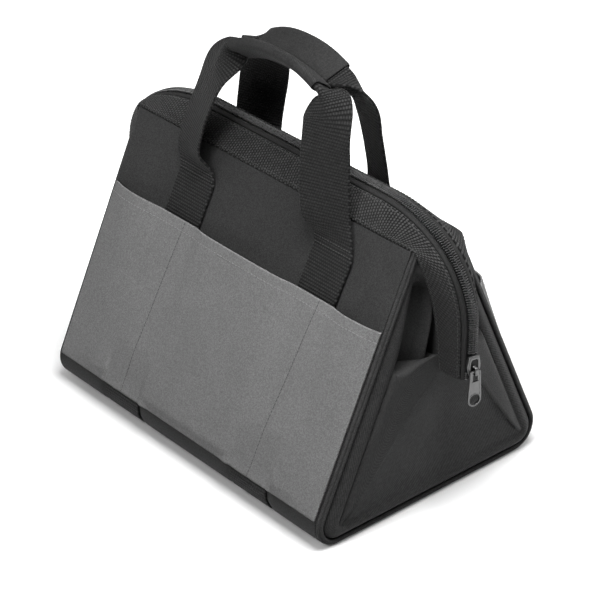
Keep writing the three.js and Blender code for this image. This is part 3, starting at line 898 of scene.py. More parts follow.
@dataclass(frozen=True)
class Tent:
    """Cross-section of the bag: two sloping walls that roll round the base edges."""

    length: float = 305.0
    base_depth: float = 235.0
    height: float = 208.5
    top_gap: float = 43.0
    edge_radius: float = 19.0
    press_run: float = 40.0
    press_from: float = 1.0
    press_to: float = 5.0
    stitch_share: float = 0.885
    mouth_share: float = 0.735
    foot_share: float = 0.12

    @property
    def lean(self) -> float:
        """Lean of a wall from upright."""
        return math.atan2((self.base_depth - self.top_gap) / 2, self.height)

    @property
    def turn(self) -> float:
        """Angle that the cloth turns through at a base edge."""
        return math.pi / 2 + self.lean

    @property
    def edge_cut(self) -> float:
        """Length that the rounding takes off a wall and off the base."""
        return self.edge_radius * math.tan(self.turn / 2)

    @property
    def slope(self) -> float:
        """Length of the flat part of a wall."""
        return self.height / math.cos(self.lean) - self.edge_cut

    @property
    def bend(self) -> float:
        """Length of cloth round a base edge."""
        return self.edge_radius * self.turn

    @property
    def girth(self) -> float:
        """Length of cloth from the front top edge round to the back one."""
        return 2 * (self.slope + self.bend - self.edge_cut) + self.base_depth

    @property
    def stitch(self) -> float:
        """Distance down a wall to the foot of a handle."""
        return self.wall_run(self.stitch_share)

    @property
    def mouth(self) -> float:
        """Distance down a wall to the mouth of a pocket."""
        return self.wall_run(self.mouth_share)

    @property
    def foot(self) -> float:
        """Distance down a wall to the foot of a pocket."""
        return self.wall_run(self.foot_share)

    def wall_run(self, share: float) -> float:
        """Distance down a wall to a share of its height."""
        return (1 - share) * self.height / math.cos(self.lean)

    def down(self, side: Side, depth: Array | float) -> Array | float:
        """Length along the cross-section at a distance down one wall."""
        return depth if side is Side.FRONT else self.girth - depth

    def section(self, distance: Array) -> tuple[Array, Array, Array, Array, Array]:
        """Follow the cross-section.

        Args:
            distance: Lengths along the cloth from the front top edge.

        Returns:
            Y, Z, the normal's Y and Z, and the length from the nearer top edge.
        """
        distance = np.asarray(distance, float)
        side = np.where(distance > self.girth / 2, 1.0, -1.0)
        run = np.minimum(distance, self.girth - distance)
        angle = self.lean - np.clip((run - self.slope) / self.edge_radius, 0.0, self.turn)
        wall = np.minimum(run, self.slope) - self.slope
        floor = np.maximum(run - self.slope - self.bend, 0.0)
        out = self.base_depth / 2 - self.edge_cut + self.edge_radius * np.cos(angle)
        out = out + wall * math.sin(self.lean) - floor
        z = self.edge_radius * (1 + np.sin(angle)) - wall * math.cos(self.lean)
        return side * out, z, side * np.cos(angle), np.sin(angle), run

    def strap_x(self, strap: Strap, distance: Array) -> Array:
        """Find the middle of a strap.

        Args:
            strap: The strap.
            distance: Lengths along the cross-section.

        Returns:
            X at those lengths.
        """
        distance = np.asarray(distance, float)
        top = np.where(distance > self.girth / 2, strap.back, strap.front)
        run = np.minimum(distance, self.girth - distance)
        return mix(strap.foot, top, np.clip(1 - run / self.slope, 0.0, 1.0))

    def point(self, distance: Array, x: Array, stand: Array | float = 0.0) -> Array:
        """Find points on the body cloth, which the straps press in round the base.

        Args:
            distance: Lengths along the cross-section.
            x: Places along the bag.
            stand: How far the points stand off the cloth.

        Returns:
            The points.
        """
        distance, x, stand = np.broadcast_arrays(distance, x, stand)
        y, z, ny, nz, run = self.section(distance)
        away = np.min([np.abs(x - self.strap_x(strap, distance)) for strap in STRAPS], axis=0)
        half = GOODS.webbing_width / 2
        beside = 1 - smooth(away, half + self.press_from, half + self.press_to)
        out = stand - GOODS.over_strap * beside * smooth(run, self.slope - self.press_run, self.slope)
        return np.stack([x, y + ny * out, z + nz * out], axis=-1)


TENT = Tent()


@dataclass(frozen=True)
class Ridge:
    """The zip's ridge: straight to the bend, a quarter ellipse, then a tail that hangs down.

    Places along it are q: 1 at the bend, 2 at the top of the tail and 3 at its foot.
    """

    height: float = 228.0
    reach: float = 188.0
    drop: float = 72.0
    tail: float = 39.0
    shoulder: float = 10.0
    left_bend: float = 88.0
    right_bend: float = 100.0
    right_turn: float = math.radians(10)
    edge: Table = Table(
        "q x out z",
        (0.0, 0.0, 21.5, 208.6),
        (0.5, 52.0, 21.5, 208.6),
        (1.0, 106.0, 21.5, 208.6),
        (1.5, 147.0, 21.5, 208.6),
        (1.62, 152.0, 20.6, 206.0),
        (1.8, 156.5, 17.0, 190.0),
        (2.0, 160.0, 13.5, 168.0),
        (3.0, 165.0, 11.0, 117.0),
    )

    def axes(self, q: Array) -> tuple[Array, Array, Array, Array, Array]:
        """Find the ridge's frame.

        Args:
            q: Places along the ridge.

        Returns:
            Its points, untwisted normals, directions, twisted normals and sides.
        """
        q = np.asarray(q, float)
        sign = np.where(q < 0, -1.0, 1.0)
        bend = np.where(q < 0, self.left_bend, self.right_bend)
        far = np.abs(q)
        angle = np.clip(far - 1, 0.0, 1.0) * math.pi / 2
        reach = self.reach - bend
        x = sign * (np.minimum(far, 1.0) * bend + reach * np.sin(angle))
        z = self.height - self.drop * (1 - np.cos(angle)) - self.tail * np.maximum(far - 2, 0.0)
        none = np.zeros_like(x)
        upright = unit(np.stack([sign * np.sin(angle) / reach, none, np.cos(angle) / self.drop], axis=-1))
        across = np.array([0.0, 1.0, 0.0])
        turn = (np.where(q < 0, 0.0, self.right_turn) * smooth(far, 1.0, 2.6))[..., None]
        normal = upright * np.cos(turn) - across * np.sin(turn)
        side = across * np.cos(turn) + upright * np.sin(turn)
        return np.stack([x, none, z], axis=-1), upright, np.cross(across, upright), normal, side

    def point(self, q: Array, share: Array) -> Array:
        """Find points of the strip over the ridge.

        Args:
            q: Places along the ridge.
            share: Places across it, from -1 at the front band's edge to 1 at the back one's.

        Returns:
            The points.
        """
        q, share = np.broadcast_arrays(np.asarray(q, float), np.asarray(share, float))
        at, upright, along, normal, side = self.axes(q)
        sign = np.sign(share)[..., None]
        s = np.abs(share)[..., None]
        far = np.abs(q)
        out = self.edge.read("out", far)[..., None]
        edge = [np.sign(q) * self.edge.read("x", far), np.zeros_like(q), self.edge.read("z", far)]
        reach = np.stack(edge, axis=-1) - at
        foot = at + side * sign * out + normal * dot(reach, upright) + along * dot(reach, along)
        shoulder = at + side * sign * self.shoulder
        return at * (1 - s) ** 2 + shoulder * 2 * s * (1 - s) + foot * s**2

    def normal(self, q: Array, share: Array) -> Array:
        """Find normals of the strip over the ridge.

        Args:
            q: Places along the ridge.
            share: Places across it.

        Returns:
            The unit normals.
        """
        small = 1e-4
        along = self.point(np.asarray(q) + small, share) - self.point(np.asarray(q) - small, share)
        across = self.point(q, np.asarray(share) + small) - self.point(q, np.asarray(share) - small)
        return unit(np.cross(along, across))

    def stops(self, start: float, stop: float, step: float) -> Array:
        """Places along the ridge that lie evenly by length.

        Args:
            start: First place.
            stop: Last place.
            step: Largest length between places.

        Returns:
            The places in order.
        """
        fine = np.linspace(start, stop, 1200)
        length = lengths(self.point(fine[:, None], np.array([[0.5, 0.51]])), 0)
        return np.interp(stops(0.0, length[-1], step), length, fine)


RIDGE = Ridge()


# Sub-assemblies


@dataclass
class BodyCloth:
    """Front wall, base and back wall in one run of cloth, and the straps sewn to it."""

    top_drop: float = 1.5
    mesh_step: float = 3.2
    strap_step: tuple[float, float] = (2.4, 2.0)
    slack: float = 1.3
    slack_mean: float = 0.75
    slack_swing: float = 0.5
    wave: float = 95.0
    wave_shift: float = 400.0
    top_hold: tuple[float, float] = (2.0, 24.0)
    end_hold: float = 140.0
    end_fade: float = 22.0
    edge_fade: float = 30.0
    crease_top: float = 134.5
    crease_foot: float = 118.5
    crease_run: float = 62.0
    crease_reach: float = 1.4
    crease_height: float = 2.4
    crease_widths: tuple[float, float] = (7.0, 2.2)
    crease_fade: tuple[float, float] = (50.0, 74.0)

    def sag(self, run: Array, x: Array, side: Array) -> Array:
        """Work out how far the wall's cloth sinks in between its seams.

        Args:
            run: Lengths from the nearer top edge.
            x: Places along the bag.
            side: -1 on the front, 1 on the back.

        Returns:
            Offsets along the normal, outwards only along the crease.
        """
        wave = Ripple(11, self.wave).at(x + self.wave_shift * side, run)
        held = smooth(run, *self.top_hold) * smooth(self.end_hold - np.abs(x), 0.0, self.end_fade)
        loose = held * (1 - smooth(run, TENT.slope - self.edge_fade, TENT.slope))
        share = self.slack_mean + self.slack_swing * wave
        sunk = np.minimum(-self.slack * loose * share, 0.0)
        way = np.clip(run / self.crease_run, 0.0, self.crease_reach)
        line = mix(self.crease_top, self.crease_foot, way)
        near = np.where(side < 0, x - line, -x - line)
        inner, outer = self.crease_widths
        ridge = np.exp(-np.abs(near) / np.where(near > 0, outer, inner))
        return sunk + self.crease_height * ridge * loose * (1 - smooth(run, *self.crease_fade))

    def build(self) -> None:
        """Make the wall cloth and the straps."""
        half = TENT.length / 2 - GOODS.piping - GOODS.gap
        runs = stops(self.top_drop, TENT.girth - self.top_drop, self.mesh_step)[:, None]
        x = stops(-half, half, self.mesh_step)[None]
        run = np.minimum(runs, TENT.girth - runs)
        side = np.where(runs > TENT.girth / 2, 1.0, -1.0)
        run, side, across = np.broadcast_arrays(run, side, x)
        points = TENT.point(runs, x, self.sag(run, across, side))
        weave = np.stack(np.broadcast_arrays(x, runs), axis=-1)
        cloth = sheet_patch(points, weave, -GOODS.cloth, 0.0)
        wrap = add_piece("wall_cloth", [cloth], Finishes.CLOTH, Slot.CLOTH, ["body_wrap"])
        flat = (2 * half * MM, (TENT.girth - 2 * self.top_drop) * MM)
        for strap in STRAPS:
            self.add_strap(strap)

    def add_strap(self, strap: Strap) -> None:
        """Make one strap, from the foot of the front handle to that of the back one.

        Args:
            strap: Where the strap runs.
        """
        stitch = TENT.stitch + GOODS.gap
        half = GOODS.webbing_width / 2
        along_step, across_step = self.strap_step
        runs = stops(stitch, TENT.girth - stitch, along_step)[:, None]
        across = stops(-half, half, across_step)[None]
        points = TENT.point(runs, TENT.strap_x(strap, runs) + across)
        weave = np.stack(np.broadcast_arrays(across, runs), axis=-1)
        webbing = sheet_patch(points, weave, GOODS.gap, GOODS.gap + GOODS.webbing)
        name = f"strap_webbing_{strap.name}"
        add_piece(name, [webbing], Finishes.WEBBING, Slot.WEBBING, [f"strap_{strap.name}"])


class Anchor(Enum):
    """Line on a wall that places across a pocket are measured from."""

    LEFT_SEAM = 0
    LEFT_STRAP = 1
    MIDDLE = 2
    RIGHT_STRAP = 3
    RIGHT_SEAM = 4


@dataclass(frozen=True)
class PocketLine:
    """Line down a pocket: its place, its stand off the wall and how far it swells at the mouth."""

    anchor: Anchor
    offset: float
    stand: float
    swell: float


@dataclass
class Pockets:
    """Grey pocket on each wall, flat at its seams, swelling at the mouths of its three compartments."""

    seam_inset: float = 5.5
    step: float = 2.4
    line_step: float = 0.11
    line_edge: float = 0.03
    hem: float = 8.0
    hem_stitch: float = 6.6
    hem_pitch: float = 3.4
    divider_depth: float = 0.45
    divider_width: float = 2.4
    divider_lean: float = 8.0
    divider_pitch: float = 3.0
    divider_fill: float = 0.8
    seam_swell: float = 7.5
    swell_power: float = 1.5
    wave: float = 60.0
    wave_height: float = 0.25
    wave_fade: float = 18.0
    wave_foot: tuple[float, float] = (4.0, 30.0)
    wave_mouth: tuple[float, float] = (-6.0, 24.0)
    lines: tuple[PocketLine, ...] = (
        PocketLine(Anchor.LEFT_SEAM, 0.0, 0.0, 0.0),
        PocketLine(Anchor.LEFT_SEAM, 16.0, 0.4, 5.0),
        PocketLine(Anchor.LEFT_SEAM, 33.0, 1.0, 6.4),
        PocketLine(Anchor.LEFT_STRAP, -26.0, 1.6, 3.2),
        PocketLine(Anchor.LEFT_STRAP, -20.0, 2.1, 1.4),
        PocketLine(Anchor.LEFT_STRAP, 20.0, 2.1, 1.4),
        PocketLine(Anchor.LEFT_STRAP, 34.0, 1.9, 5.4),
        PocketLine(Anchor.MIDDLE, 0.0, 1.9, 6.6),
        PocketLine(Anchor.RIGHT_STRAP, -34.0, 1.9, 5.4),
        PocketLine(Anchor.RIGHT_STRAP, -20.0, 2.1, 1.4),
        PocketLine(Anchor.RIGHT_STRAP, 20.0, 2.1, 1.4),
        PocketLine(Anchor.RIGHT_STRAP, 26.0, 1.6, 3.2),
        PocketLine(Anchor.RIGHT_SEAM, -30.0, 1.0, 6.4),
        PocketLine(Anchor.RIGHT_SEAM, -8.0, 0.4, 4.2),
        PocketLine(Anchor.RIGHT_SEAM, 0.0, 0.0, 0.0),
    )

    def anchors(self, run: Array) -> dict[Anchor, Array]:
        """Find the lines that places across a pocket are measured from.

        Args:
            run: Lengths along the cross-section, as a column.

        Returns:
            X of each line.
        """
        seam = TENT.length / 2 - self.seam_inset
        left, right = (TENT.strap_x(strap, run) for strap in STRAPS)
        ends = np.full_like(left, -seam), np.full_like(left, seam)
        return dict(zip(Anchor, (ends[0], left, (left + right) / 2, right, ends[1])))

    def surface(self, side: Side, depth: Array, index: Array) -> tuple[Array, Array]:
        """Find points on the inner face of a pocket's cloth.

        Args:
            side: Wall that the pocket is on.
            depth: Lengths down from the wall's top edge, as a column.
            index: Places across the pocket as line numbers, as a row.

        Returns:
            The points, and X along the bag.
        """
        run = TENT.down(side, depth)
        above = TENT.foot - depth
        low = np.minimum(index.astype(int), len(self.lines) - 2)
        anchors = self.anchors(run)
        places = np.stack([anchors[line.anchor][:, 0] + line.offset for line in self.lines], axis=1)
        x = mix(places[:, low[0]], places[:, low[0] + 1], index - low)
        level = places[len(places) // 2]
        swells = np.array([line.swell for line in self.lines])
        if side is Side.BACK:
            swells[-3:-1] = self.seam_swell
        form = Table("x stand over swell", *(
            (at, line.stand, float(line.stand == GOODS.over_strap), swell)
            for at, line, swell in zip(level, self.lines, swells)
        ))
        where = np.interp(index, np.arange(len(level)), level)
        loose = np.maximum(smooth(above, 0.0, self.hem), form.read("over", where))
        stand = form.read("stand", where) * loose
        swell = (above / (TENT.foot - TENT.mouth)) ** self.swell_power * form.read("swell", where)
        wave = Ripple(23 + side.value, self.wave).at(x, depth + 0 * x)
        held = smooth(above, *self.wave_foot) * smooth(depth - TENT.mouth, *self.wave_mouth)
        held = held * smooth(np.minimum(x - places[:, :1], places[:, -1:] - x), 0.0, self.wave_fade)
        quilt = self.wave_height * (1 + wave) * held
        sewn = [(x - self.divider_x(side, depth, strap)) / self.divider_width for strap in STRAPS]
        groove = self.divider_depth * sum(np.exp(-away * away) for away in sewn)
        return TENT.point(run, x, GOODS.gap + stand + swell + quilt - groove), x

    def divider_x(self, side: Side, depth: Array, strap: Strap) -> Array:
        """X of a dividing seam, which leans off its strap's middle towards the mouth."""
        above = (TENT.foot - depth) / (TENT.foot - TENT.mouth)
        return TENT.strap_x(strap, TENT.down(side, depth)) + self.divider_lean * above

    def build(self) -> None:
        """Make both pockets with their hems and dividing stitches."""
        for side in Side:
            self.add_pocket(side)

    def add_pocket(self, side: Side) -> None:
        """Make one pocket with its hem and dividing stitches.

        Args:
            side: Wall that the pocket is on.
        """
        depths = stops(TENT.mouth, TENT.foot, self.step)[:, None]
        index = stops(0.0, len(self.lines) - 1.0, self.line_step, self.line_edge)[None]
        points, x = self.surface(side, depths, index)
        weave = np.stack(np.broadcast_arrays(x, depths), axis=-1)
        below, above = (0.0, GOODS.cloth) if side is Side.FRONT else (-GOODS.cloth, 0.0)
        cloth = sheet_patch(points, weave, below, above)
        name = f"pocket_cloth_{side.label}"
        pocket = add_piece(name, [cloth], Finishes.POCKET, Slot.POCKET, [f"pocket_{side.label}"])
        flat = (2 * (TENT.length / 2 - self.seam_inset) * MM, (TENT.foot - TENT.mouth) * MM)
        facing = grid_normals(points) * -side.value
        outer = points + facing * GOODS.cloth
        hem = np.argmin(np.abs(depths[:, 0] - TENT.mouth - self.hem_stitch))
        rows = [stitch_row(outer[hem], facing[hem], self.hem_pitch, GOODS.thread)]
        add_piece(f"pocket_hem_{side.label}", rows, Finishes.GREY_THREAD, Slot.POCKET)
        rows = []
        for strap in STRAPS:
            wanted = self.divider_x(side, depths, strap)[:, 0]
            columns = [np.interp(at, row, np.arange(len(row))) for at, row in zip(wanted, x)]
            line = np.array([read_line(row, [at])[0] for row, at in zip(outer, columns)])
            aim = np.array([read_line(row, [at])[0] for row, at in zip(facing, columns)])
            rows.append(stitch_row(line, aim, self.divider_pitch, GOODS.thread, self.divider_fill))
        add_piece(f"pocket_dividers_{side.label}", rows, Finishes.BLACK_THREAD, Slot.POCKET)


@dataclass
class Ends:
    """Folded-in gusset of each end with the piping round its edge."""

    piping_top: float = 1.0
    top: float = 5.0
    border: float = 11.0
    roll: float = 4.5
    roll_turn: float = 0.75
    lip: float = 0.2
    tuck: float = 0.93
    approach: float = 7.0
    wall_end: float = 0.72
    bend_end: float = 0.88
    tail_top: float = 1.68
    tail_foot: float = 2.97
    hidden_tuck: float = 0.2
    crease_way: float = 0.6
    flat_share: float = -0.04
    crease_blend: tuple[float, float] = (-0.03, 0.01)
    dip: float = 6.0
    dip_fade: tuple[float, float] = (0.03, 0.2)
    hollow_top: float = 0.1
    top_room: float = 0.12
    room_top: float = 0.3
    around_step: float = 1 / 380
    around_edge: float = 0.001
    across_parts: tuple[tuple[float, float, int], ...] = ((0.0, 0.2, 9), (0.2, 0.82, 42), (0.82, 1.0, 46))
    piping_step: float = 2.6
    piping_sides: int = 12
    piping_taper: float = 0.7
    piping_thin: tuple[float, float] = (1.0, 14.0)
    cords: tuple[tuple[float, float, float], ...] = ((149.5, -1.65, 1.65), (151.0, -3.2, 1.4))
    crease: Table = field(default_factory=lambda: Table(
        "t at",
        (0.0, 0.28),
        (0.2, 0.32),
        (0.4, 0.378),
        (0.6, 0.462),
        (0.8, 0.6),
        (0.9, 0.705),
        (1.0, 0.86),
    ))
    hollow: Table = field(default_factory=lambda: Table(
        "t inward",
        (0.0, 0.0),
        (0.2, 14.0),
        (0.45, 24.0),
        (0.65, 26.0),
        (0.81, 23.0),
        (0.85, 28.0),
        (0.91, 38.0),
        (0.96, 42.0),
        (1.0, 0.0),
    ))
    fold: Table = field(default_factory=lambda: Table(
        "at inward rise middle",
        (0.0, 6.0, 0.0, 0.0),
        (0.16, 28.0, 0.0, 1.0),
        (0.4, 36.0, 2.0, 2.0),
        (0.72, 22.0, 1.0, 4.0),
        (0.88, 25.0, 20.0, 12.0),
        (1.0, 30.0, 40.0, 0.0),
    ))

    def place(self, at: Array) -> tuple[Array, Array]:
        """Follow the gusset from the top of a wall (0) to the middle of the base (1).

        Args:
            at: Shares of that way.

        Returns:
            Lengths along the cross-section, and shares along the tail's edge and foot.
        """
        wall = mix(self.top, TENT.slope, at / self.wall_end)
        bend = TENT.slope + TENT.bend * (at - self.wall_end) / (self.bend_end - self.wall_end)
        floor = (at - self.bend_end) / (1 - self.bend_end)
        base = mix(TENT.slope + TENT.bend, TENT.girth / 2, floor)
        run = np.where(at <= self.wall_end, wall, np.where(at <= self.bend_end, bend, base))
        return run, np.where(at <= self.bend_end, at / self.bend_end, 1 + floor)

    def under_band(
        self,
        end: End,
        side: Array,
        share: Array,
        tuck: float,
        inward: Array | float = 0.0,
    ) -> Array:
        """Find points just under a band's edge, down the tail and then across its foot.

        Args:
            end: End of the bag.
            side: -1 on the front half, 1 on the back half.
            share: Up to 1 down the tail, then to 2 at the middle of its foot.
            tuck: Share across the ridge that the points lie at.
            inward: Distance of the points behind the band.

        Returns:
            The points.
        """
        depth = -GOODS.band / 2 - GOODS.gap - 2 * GOODS.end_cloth
        q = end.value * mix(self.tail_top, self.tail_foot, np.minimum(share, 1.0))

        def under(sign: Array) -> Array:
            """Point under one band."""
            return RIDGE.point(q, sign * tuck) + RIDGE.normal(q, sign * tuck) * depth

        across = (np.maximum(share - 1, 0.0) / 2)[..., None]
        behind = RIDGE.axes(q)[3] * np.asarray(inward)[..., None]
        return mix(under(side), under(-side), across) - behind

    def tucked(self, end: End, at: Array, t: Array, above: Array, lines: tuple[Array, Array]) -> Array:
        """Find the upper cloth, which runs in past the band's edge and turns back under the band.

        Args:
            end: End of the bag.
            at: Shares of the way from the top of a wall to the middle of the base.
            t: Shares of the way from the border to the zip.
            above: Shares of the way up from the crease.
            lines: Points on the border and under the band.

        Returns:
            The points.
        """
        wide = smooth(at, 0.0, self.hollow_top)
        dip = self.dip * np.sin(t * math.pi) * (1 - smooth(above, *self.dip_fade))
        inward = self.hollow.read("inward", t)
        move = np.stack([-end.value * inward, 0 * inward, -dip], axis=-1)
        return mix(*lines, t[..., None]) + move * wide[..., None]

    def point(self, end: End, around: Array, across: Array) -> Array:
        """Find points of a gusset.

        Args:
            end: End of the bag.
            around: Shares of the way round the edge, front top to back top.
            across: Shares of the way from the piping to the band.

        Returns:
            The points.
        """
        around, across = np.broadcast_arrays(around, across)
        side = np.where(around < 0.5, -1.0, 1.0)
        way = 1 - np.abs(2 * around - 1)
        t = np.clip((across - self.lip) / (1 - self.lip), 0.0, 1.0)
        crease = self.crease.read("at", t)
        below = (way - self.crease_way) / (1 - self.crease_way)
        at = np.where(below < 0, way / self.crease_way * crease, mix(crease, 1.0, below))
        lower = smooth(way - self.crease_way, *self.crease_blend)
        run, tail = self.place(at)
        room = mix(self.top_room, 1.0, smooth(at, 0.0, self.room_top))
        y, z, ny, nz, _ = TENT.section(run)
        x = TENT.length / 2 - GOODS.piping / 2
        edge = -(GOODS.piping + 2 * GOODS.gap + GOODS.end_cloth / 2)

        def on_edge(share: Array) -> Array:
            """Find points of the rolled border.

            Args:
                share: Shares of the way across it.

            Returns:
                The points.
            """
            stand = edge - self.border * room * share
            far = x + self.roll * room * np.sin(share * math.pi * self.roll_turn)
            out = np.abs(y) + np.abs(ny) * stand
            return np.stack([end.value * far, side * out, z + nz * stand], axis=-1)

        start = on_edge(np.ones_like(across))
        finish = self.under_band(end, side, tail, self.tuck)
        approach = self.under_band(end, side, tail, self.tuck, self.approach * room)
        read = {name: self.fold.read(name, at) for name in ("inward", "rise", "middle")}
        inward = read["inward"] * mix(1.0, self.flat_share, lower)
        valley = (start + finish) / 2
        valley = valley + np.stack([-end.value * inward, -side * read["middle"], read["rise"]], axis=-1)
        pulled = (8 * valley - start - finish - 3 * approach) / 3
        s, r = (1 - t)[..., None], t[..., None]
        panel = start * s**3 + 3 * pulled * s**2 * r + 3 * approach * s * r**2 + finish * r**3
        hidden = self.under_band(end, side, tail, self.hidden_tuck)
        upper = self.tucked(end, at, t, self.crease_way - way, (start, hidden))
        fold = mix(upper, panel, lower[..., None])
        border = on_edge(np.clip(across / self.lip, 0.0, 1.0))
        return np.where((across < self.lip)[..., None], border, fold)

    def build(self) -> None:
        """Make both ends."""
        for end in End:
            self.add_gusset(end)
            self.add_piping(end)

    def add_gusset(self, end: End) -> None:
        """Make the folded cloth of one end.

        Args:
            end: End of the bag.
        """
        around = stops(0.0, 1.0, self.around_step, self.around_edge)[:, None]
        across = [np.linspace(*part)[:-1] for part in self.across_parts]
        across = np.concatenate([*across, [1.0]])[None]
        points = self.point(end, around, across)
        weave = weave_of(points)
        cloth = sheet_patch(points, weave, -GOODS.end_cloth / 2, GOODS.end_cloth / 2)
        name = f"end_cloth_{end.label}"
        panel = add_piece(name, [cloth], Finishes.CLOTH, Slot.CLOTH, [f"end_panel_{end.label}"])
        length, width = lengths(points, 0)[-1] * MM, lengths(points, 1)[-1] * MM
        grid_area(points)

    def add_piping(self, end: End) -> None:
        """Make the covered cord and its sewn flange.

        Args:
            end: End of the bag.
        """
        runs = stops(self.piping_top, TENT.girth - self.piping_top, self.piping_step)
        y, z, ny, nz, run = TENT.section(runs)
        turn = np.arange(self.piping_sides) * 2 * math.pi / self.piping_sides * end.value
        taper = mix(self.piping_taper, 1.0, smooth(run, *self.piping_thin))
        patches = []
        for x, stand, radius in self.cords:
            r = (radius * taper)[:, None]
            out = stand + r * np.sin(turn)
            far = end.value * x + r * np.cos(turn)
            rings = np.stack([far, y[:, None] + ny[:, None] * out, z[:, None] + nz[:, None] * out], axis=-1)
            patches.append(tube_patch(rings[:, ::-1]))
        name = f"piping_cord_{end.label}"
        add_piece(name, patches, Finishes.PIPING, Slot.CLOTH, [f"piping_{end.label}"])


@dataclass
class ZipTop:
    """Webbing bands along the top with the zip between them."""

    foot: float = 3.0
    step: float = 2.6
    band_from: float = 0.43
    band_steps: tuple[float, float] = (0.05, 0.02)
    band_pitch: float = 3.0
    tape_from: float = 0.02
    tape_to: float = 0.47
    tape_steps: tuple[float, float] = (0.012, 0.006)
    tape: float = 1.0
    coil_from: float = -2.98
    coil_to: float = 2.475
    coil_inner: float = 0.04
    coil_outer: float = 0.2
    coil_rise: float = 0.5
    coil_samples: int = 1500
    tooth_pitch: float = 1.75
    tooth: tuple[float, float, float] = (4.4, 0.95, 2.4)
    loose_teeth: tuple[float, ...] = (2.86, 2.9, 2.94, 2.98)
    loose_inner: float = -0.16
    loose_outer: float = -0.3
    loose_rise: float = 1.0
    loose_tooth: tuple[float, float, float] = (2.0, 0.9, 1.4)
    tape_top: Table = field(default_factory=lambda: Table(
        "share height",
        (0.0, -1.1),
        (0.19, -1.1),
        (0.235, 0.1),
        (0.3, 0.5),
        (0.37, 0.35),
        (0.405, -0.9),
        (0.47, -1.3),
    ))

    def build(self) -> None:
        """Make the bands, tapes and coil."""
        for side in Side:
            self.add_band(side)
            self.add_tape(side)
        self.add_coil()

    def strip(self, share: Array) -> tuple[Array, Array]:
        """Lay a grid over the ridge from foot to foot.

        Args:
            share: Places across the ridge, as a row.

        Returns:
            The grid's points and their normals.
        """
        points = RIDGE.point(RIDGE.stops(-self.foot, self.foot, self.step)[:, None], share)
        return points, grid_normals(points)

    def add_band(self, side: Side) -> None:
        """Make one band with a row of stitches along each edge.

        Args:
            side: Side of the zip.
        """
        share = np.sort(side.value * stops(self.band_from, 1.0, *self.band_steps))[None]
        points, normals = self.strip(share)
        half = GOODS.band / 2
        band = sheet_patch(points, weave_of(points), -half, half)
        name = f"band_webbing_{side.label}"
        add_piece(name, [band], Finishes.BAND, Slot.WEBBING, [f"band_{side.label}"])
        inner, outer = (2, -3) if side is Side.BACK else (-3, 2)
        rows = [
            stitch_row(points[:, k] + normals[:, k] * half, normals[:, k], self.band_pitch, GOODS.thread)
            for k in (inner, outer)
        ]
        add_piece(f"band_stitches_{side.label}", rows, Finishes.BLACK_THREAD, Slot.WEBBING)

    def add_tape(self, side: Side) -> None:
        """Make one tape, which shows between the band and the teeth.

        Args:
            side: Side of the zip.
        """
        share = np.sort(side.value * stops(self.tape_from, self.tape_to, *self.tape_steps))[None]
        points, normals = self.strip(share)
        raised = points + normals * self.tape_top.read("height", np.abs(share))[..., None]
        tape = sheet_patch(raised, weave_of(points), -self.tape, 0.0)
        name = f"zip_tape_cloth_{side.label}"
        add_piece(name, [tape], Finishes.TAPE, Slot.ZIP, [f"zip_tape_{side.label}"])

    def teeth(
        self,
        q: Array,
        inner: float,
        outer: float,
        rise: float,
        size: tuple[float, float, float],
    ) -> Patch:
        """Lay teeth across the ridge.

        Args:
            q: Places along the ridge.
            inner: Share across it where the teeth start.
            outer: Share where they end.
            rise: Height of their middles over the ridge.
            size: Length, width and height of a tooth.

        Returns:
            The teeth as one part of a mesh.
        """
        start, stop = RIDGE.point(q, inner), RIDGE.point(q, outer)
        normals = RIDGE.axes(q)[3]
        return capsules((start + stop) / 2 + normals * rise, stop - start, normals, size)

    def add_coil(self) -> None:
        """Make the closed coil as two rows of interlocking teeth, with a few loose ones below the slider."""
        fine = np.linspace(self.coil_from, self.coil_to, self.coil_samples)
        places = by_length(RIDGE.axes(fine)[0], self.tooth_pitch)
        patches = []
        for side, lag in ((-1, 0.0), (1, 0.5)):
            q = np.interp(places + lag * (places[1] - places[0]), np.arange(len(fine)), fine)
            reach = -self.coil_inner * side, self.coil_outer * side
            patches.append(self.teeth(q, *reach, self.coil_rise, self.tooth))
        loose, reach = np.array(self.loose_teeth), (self.loose_inner, self.loose_outer)
        patches.append(self.teeth(loose, *reach, self.loose_rise, self.loose_tooth))
        add_piece("zip_teeth", patches, Finishes.COIL, Slot.ZIP, ["zip_coil"])


@dataclass(frozen=True)
class Layer:
    """Plate of the slider: insets of its outlines, heights over the slider's face, and its bevel."""

    insets: tuple[float, ...]
    low: float
    high: float
    bevel: float


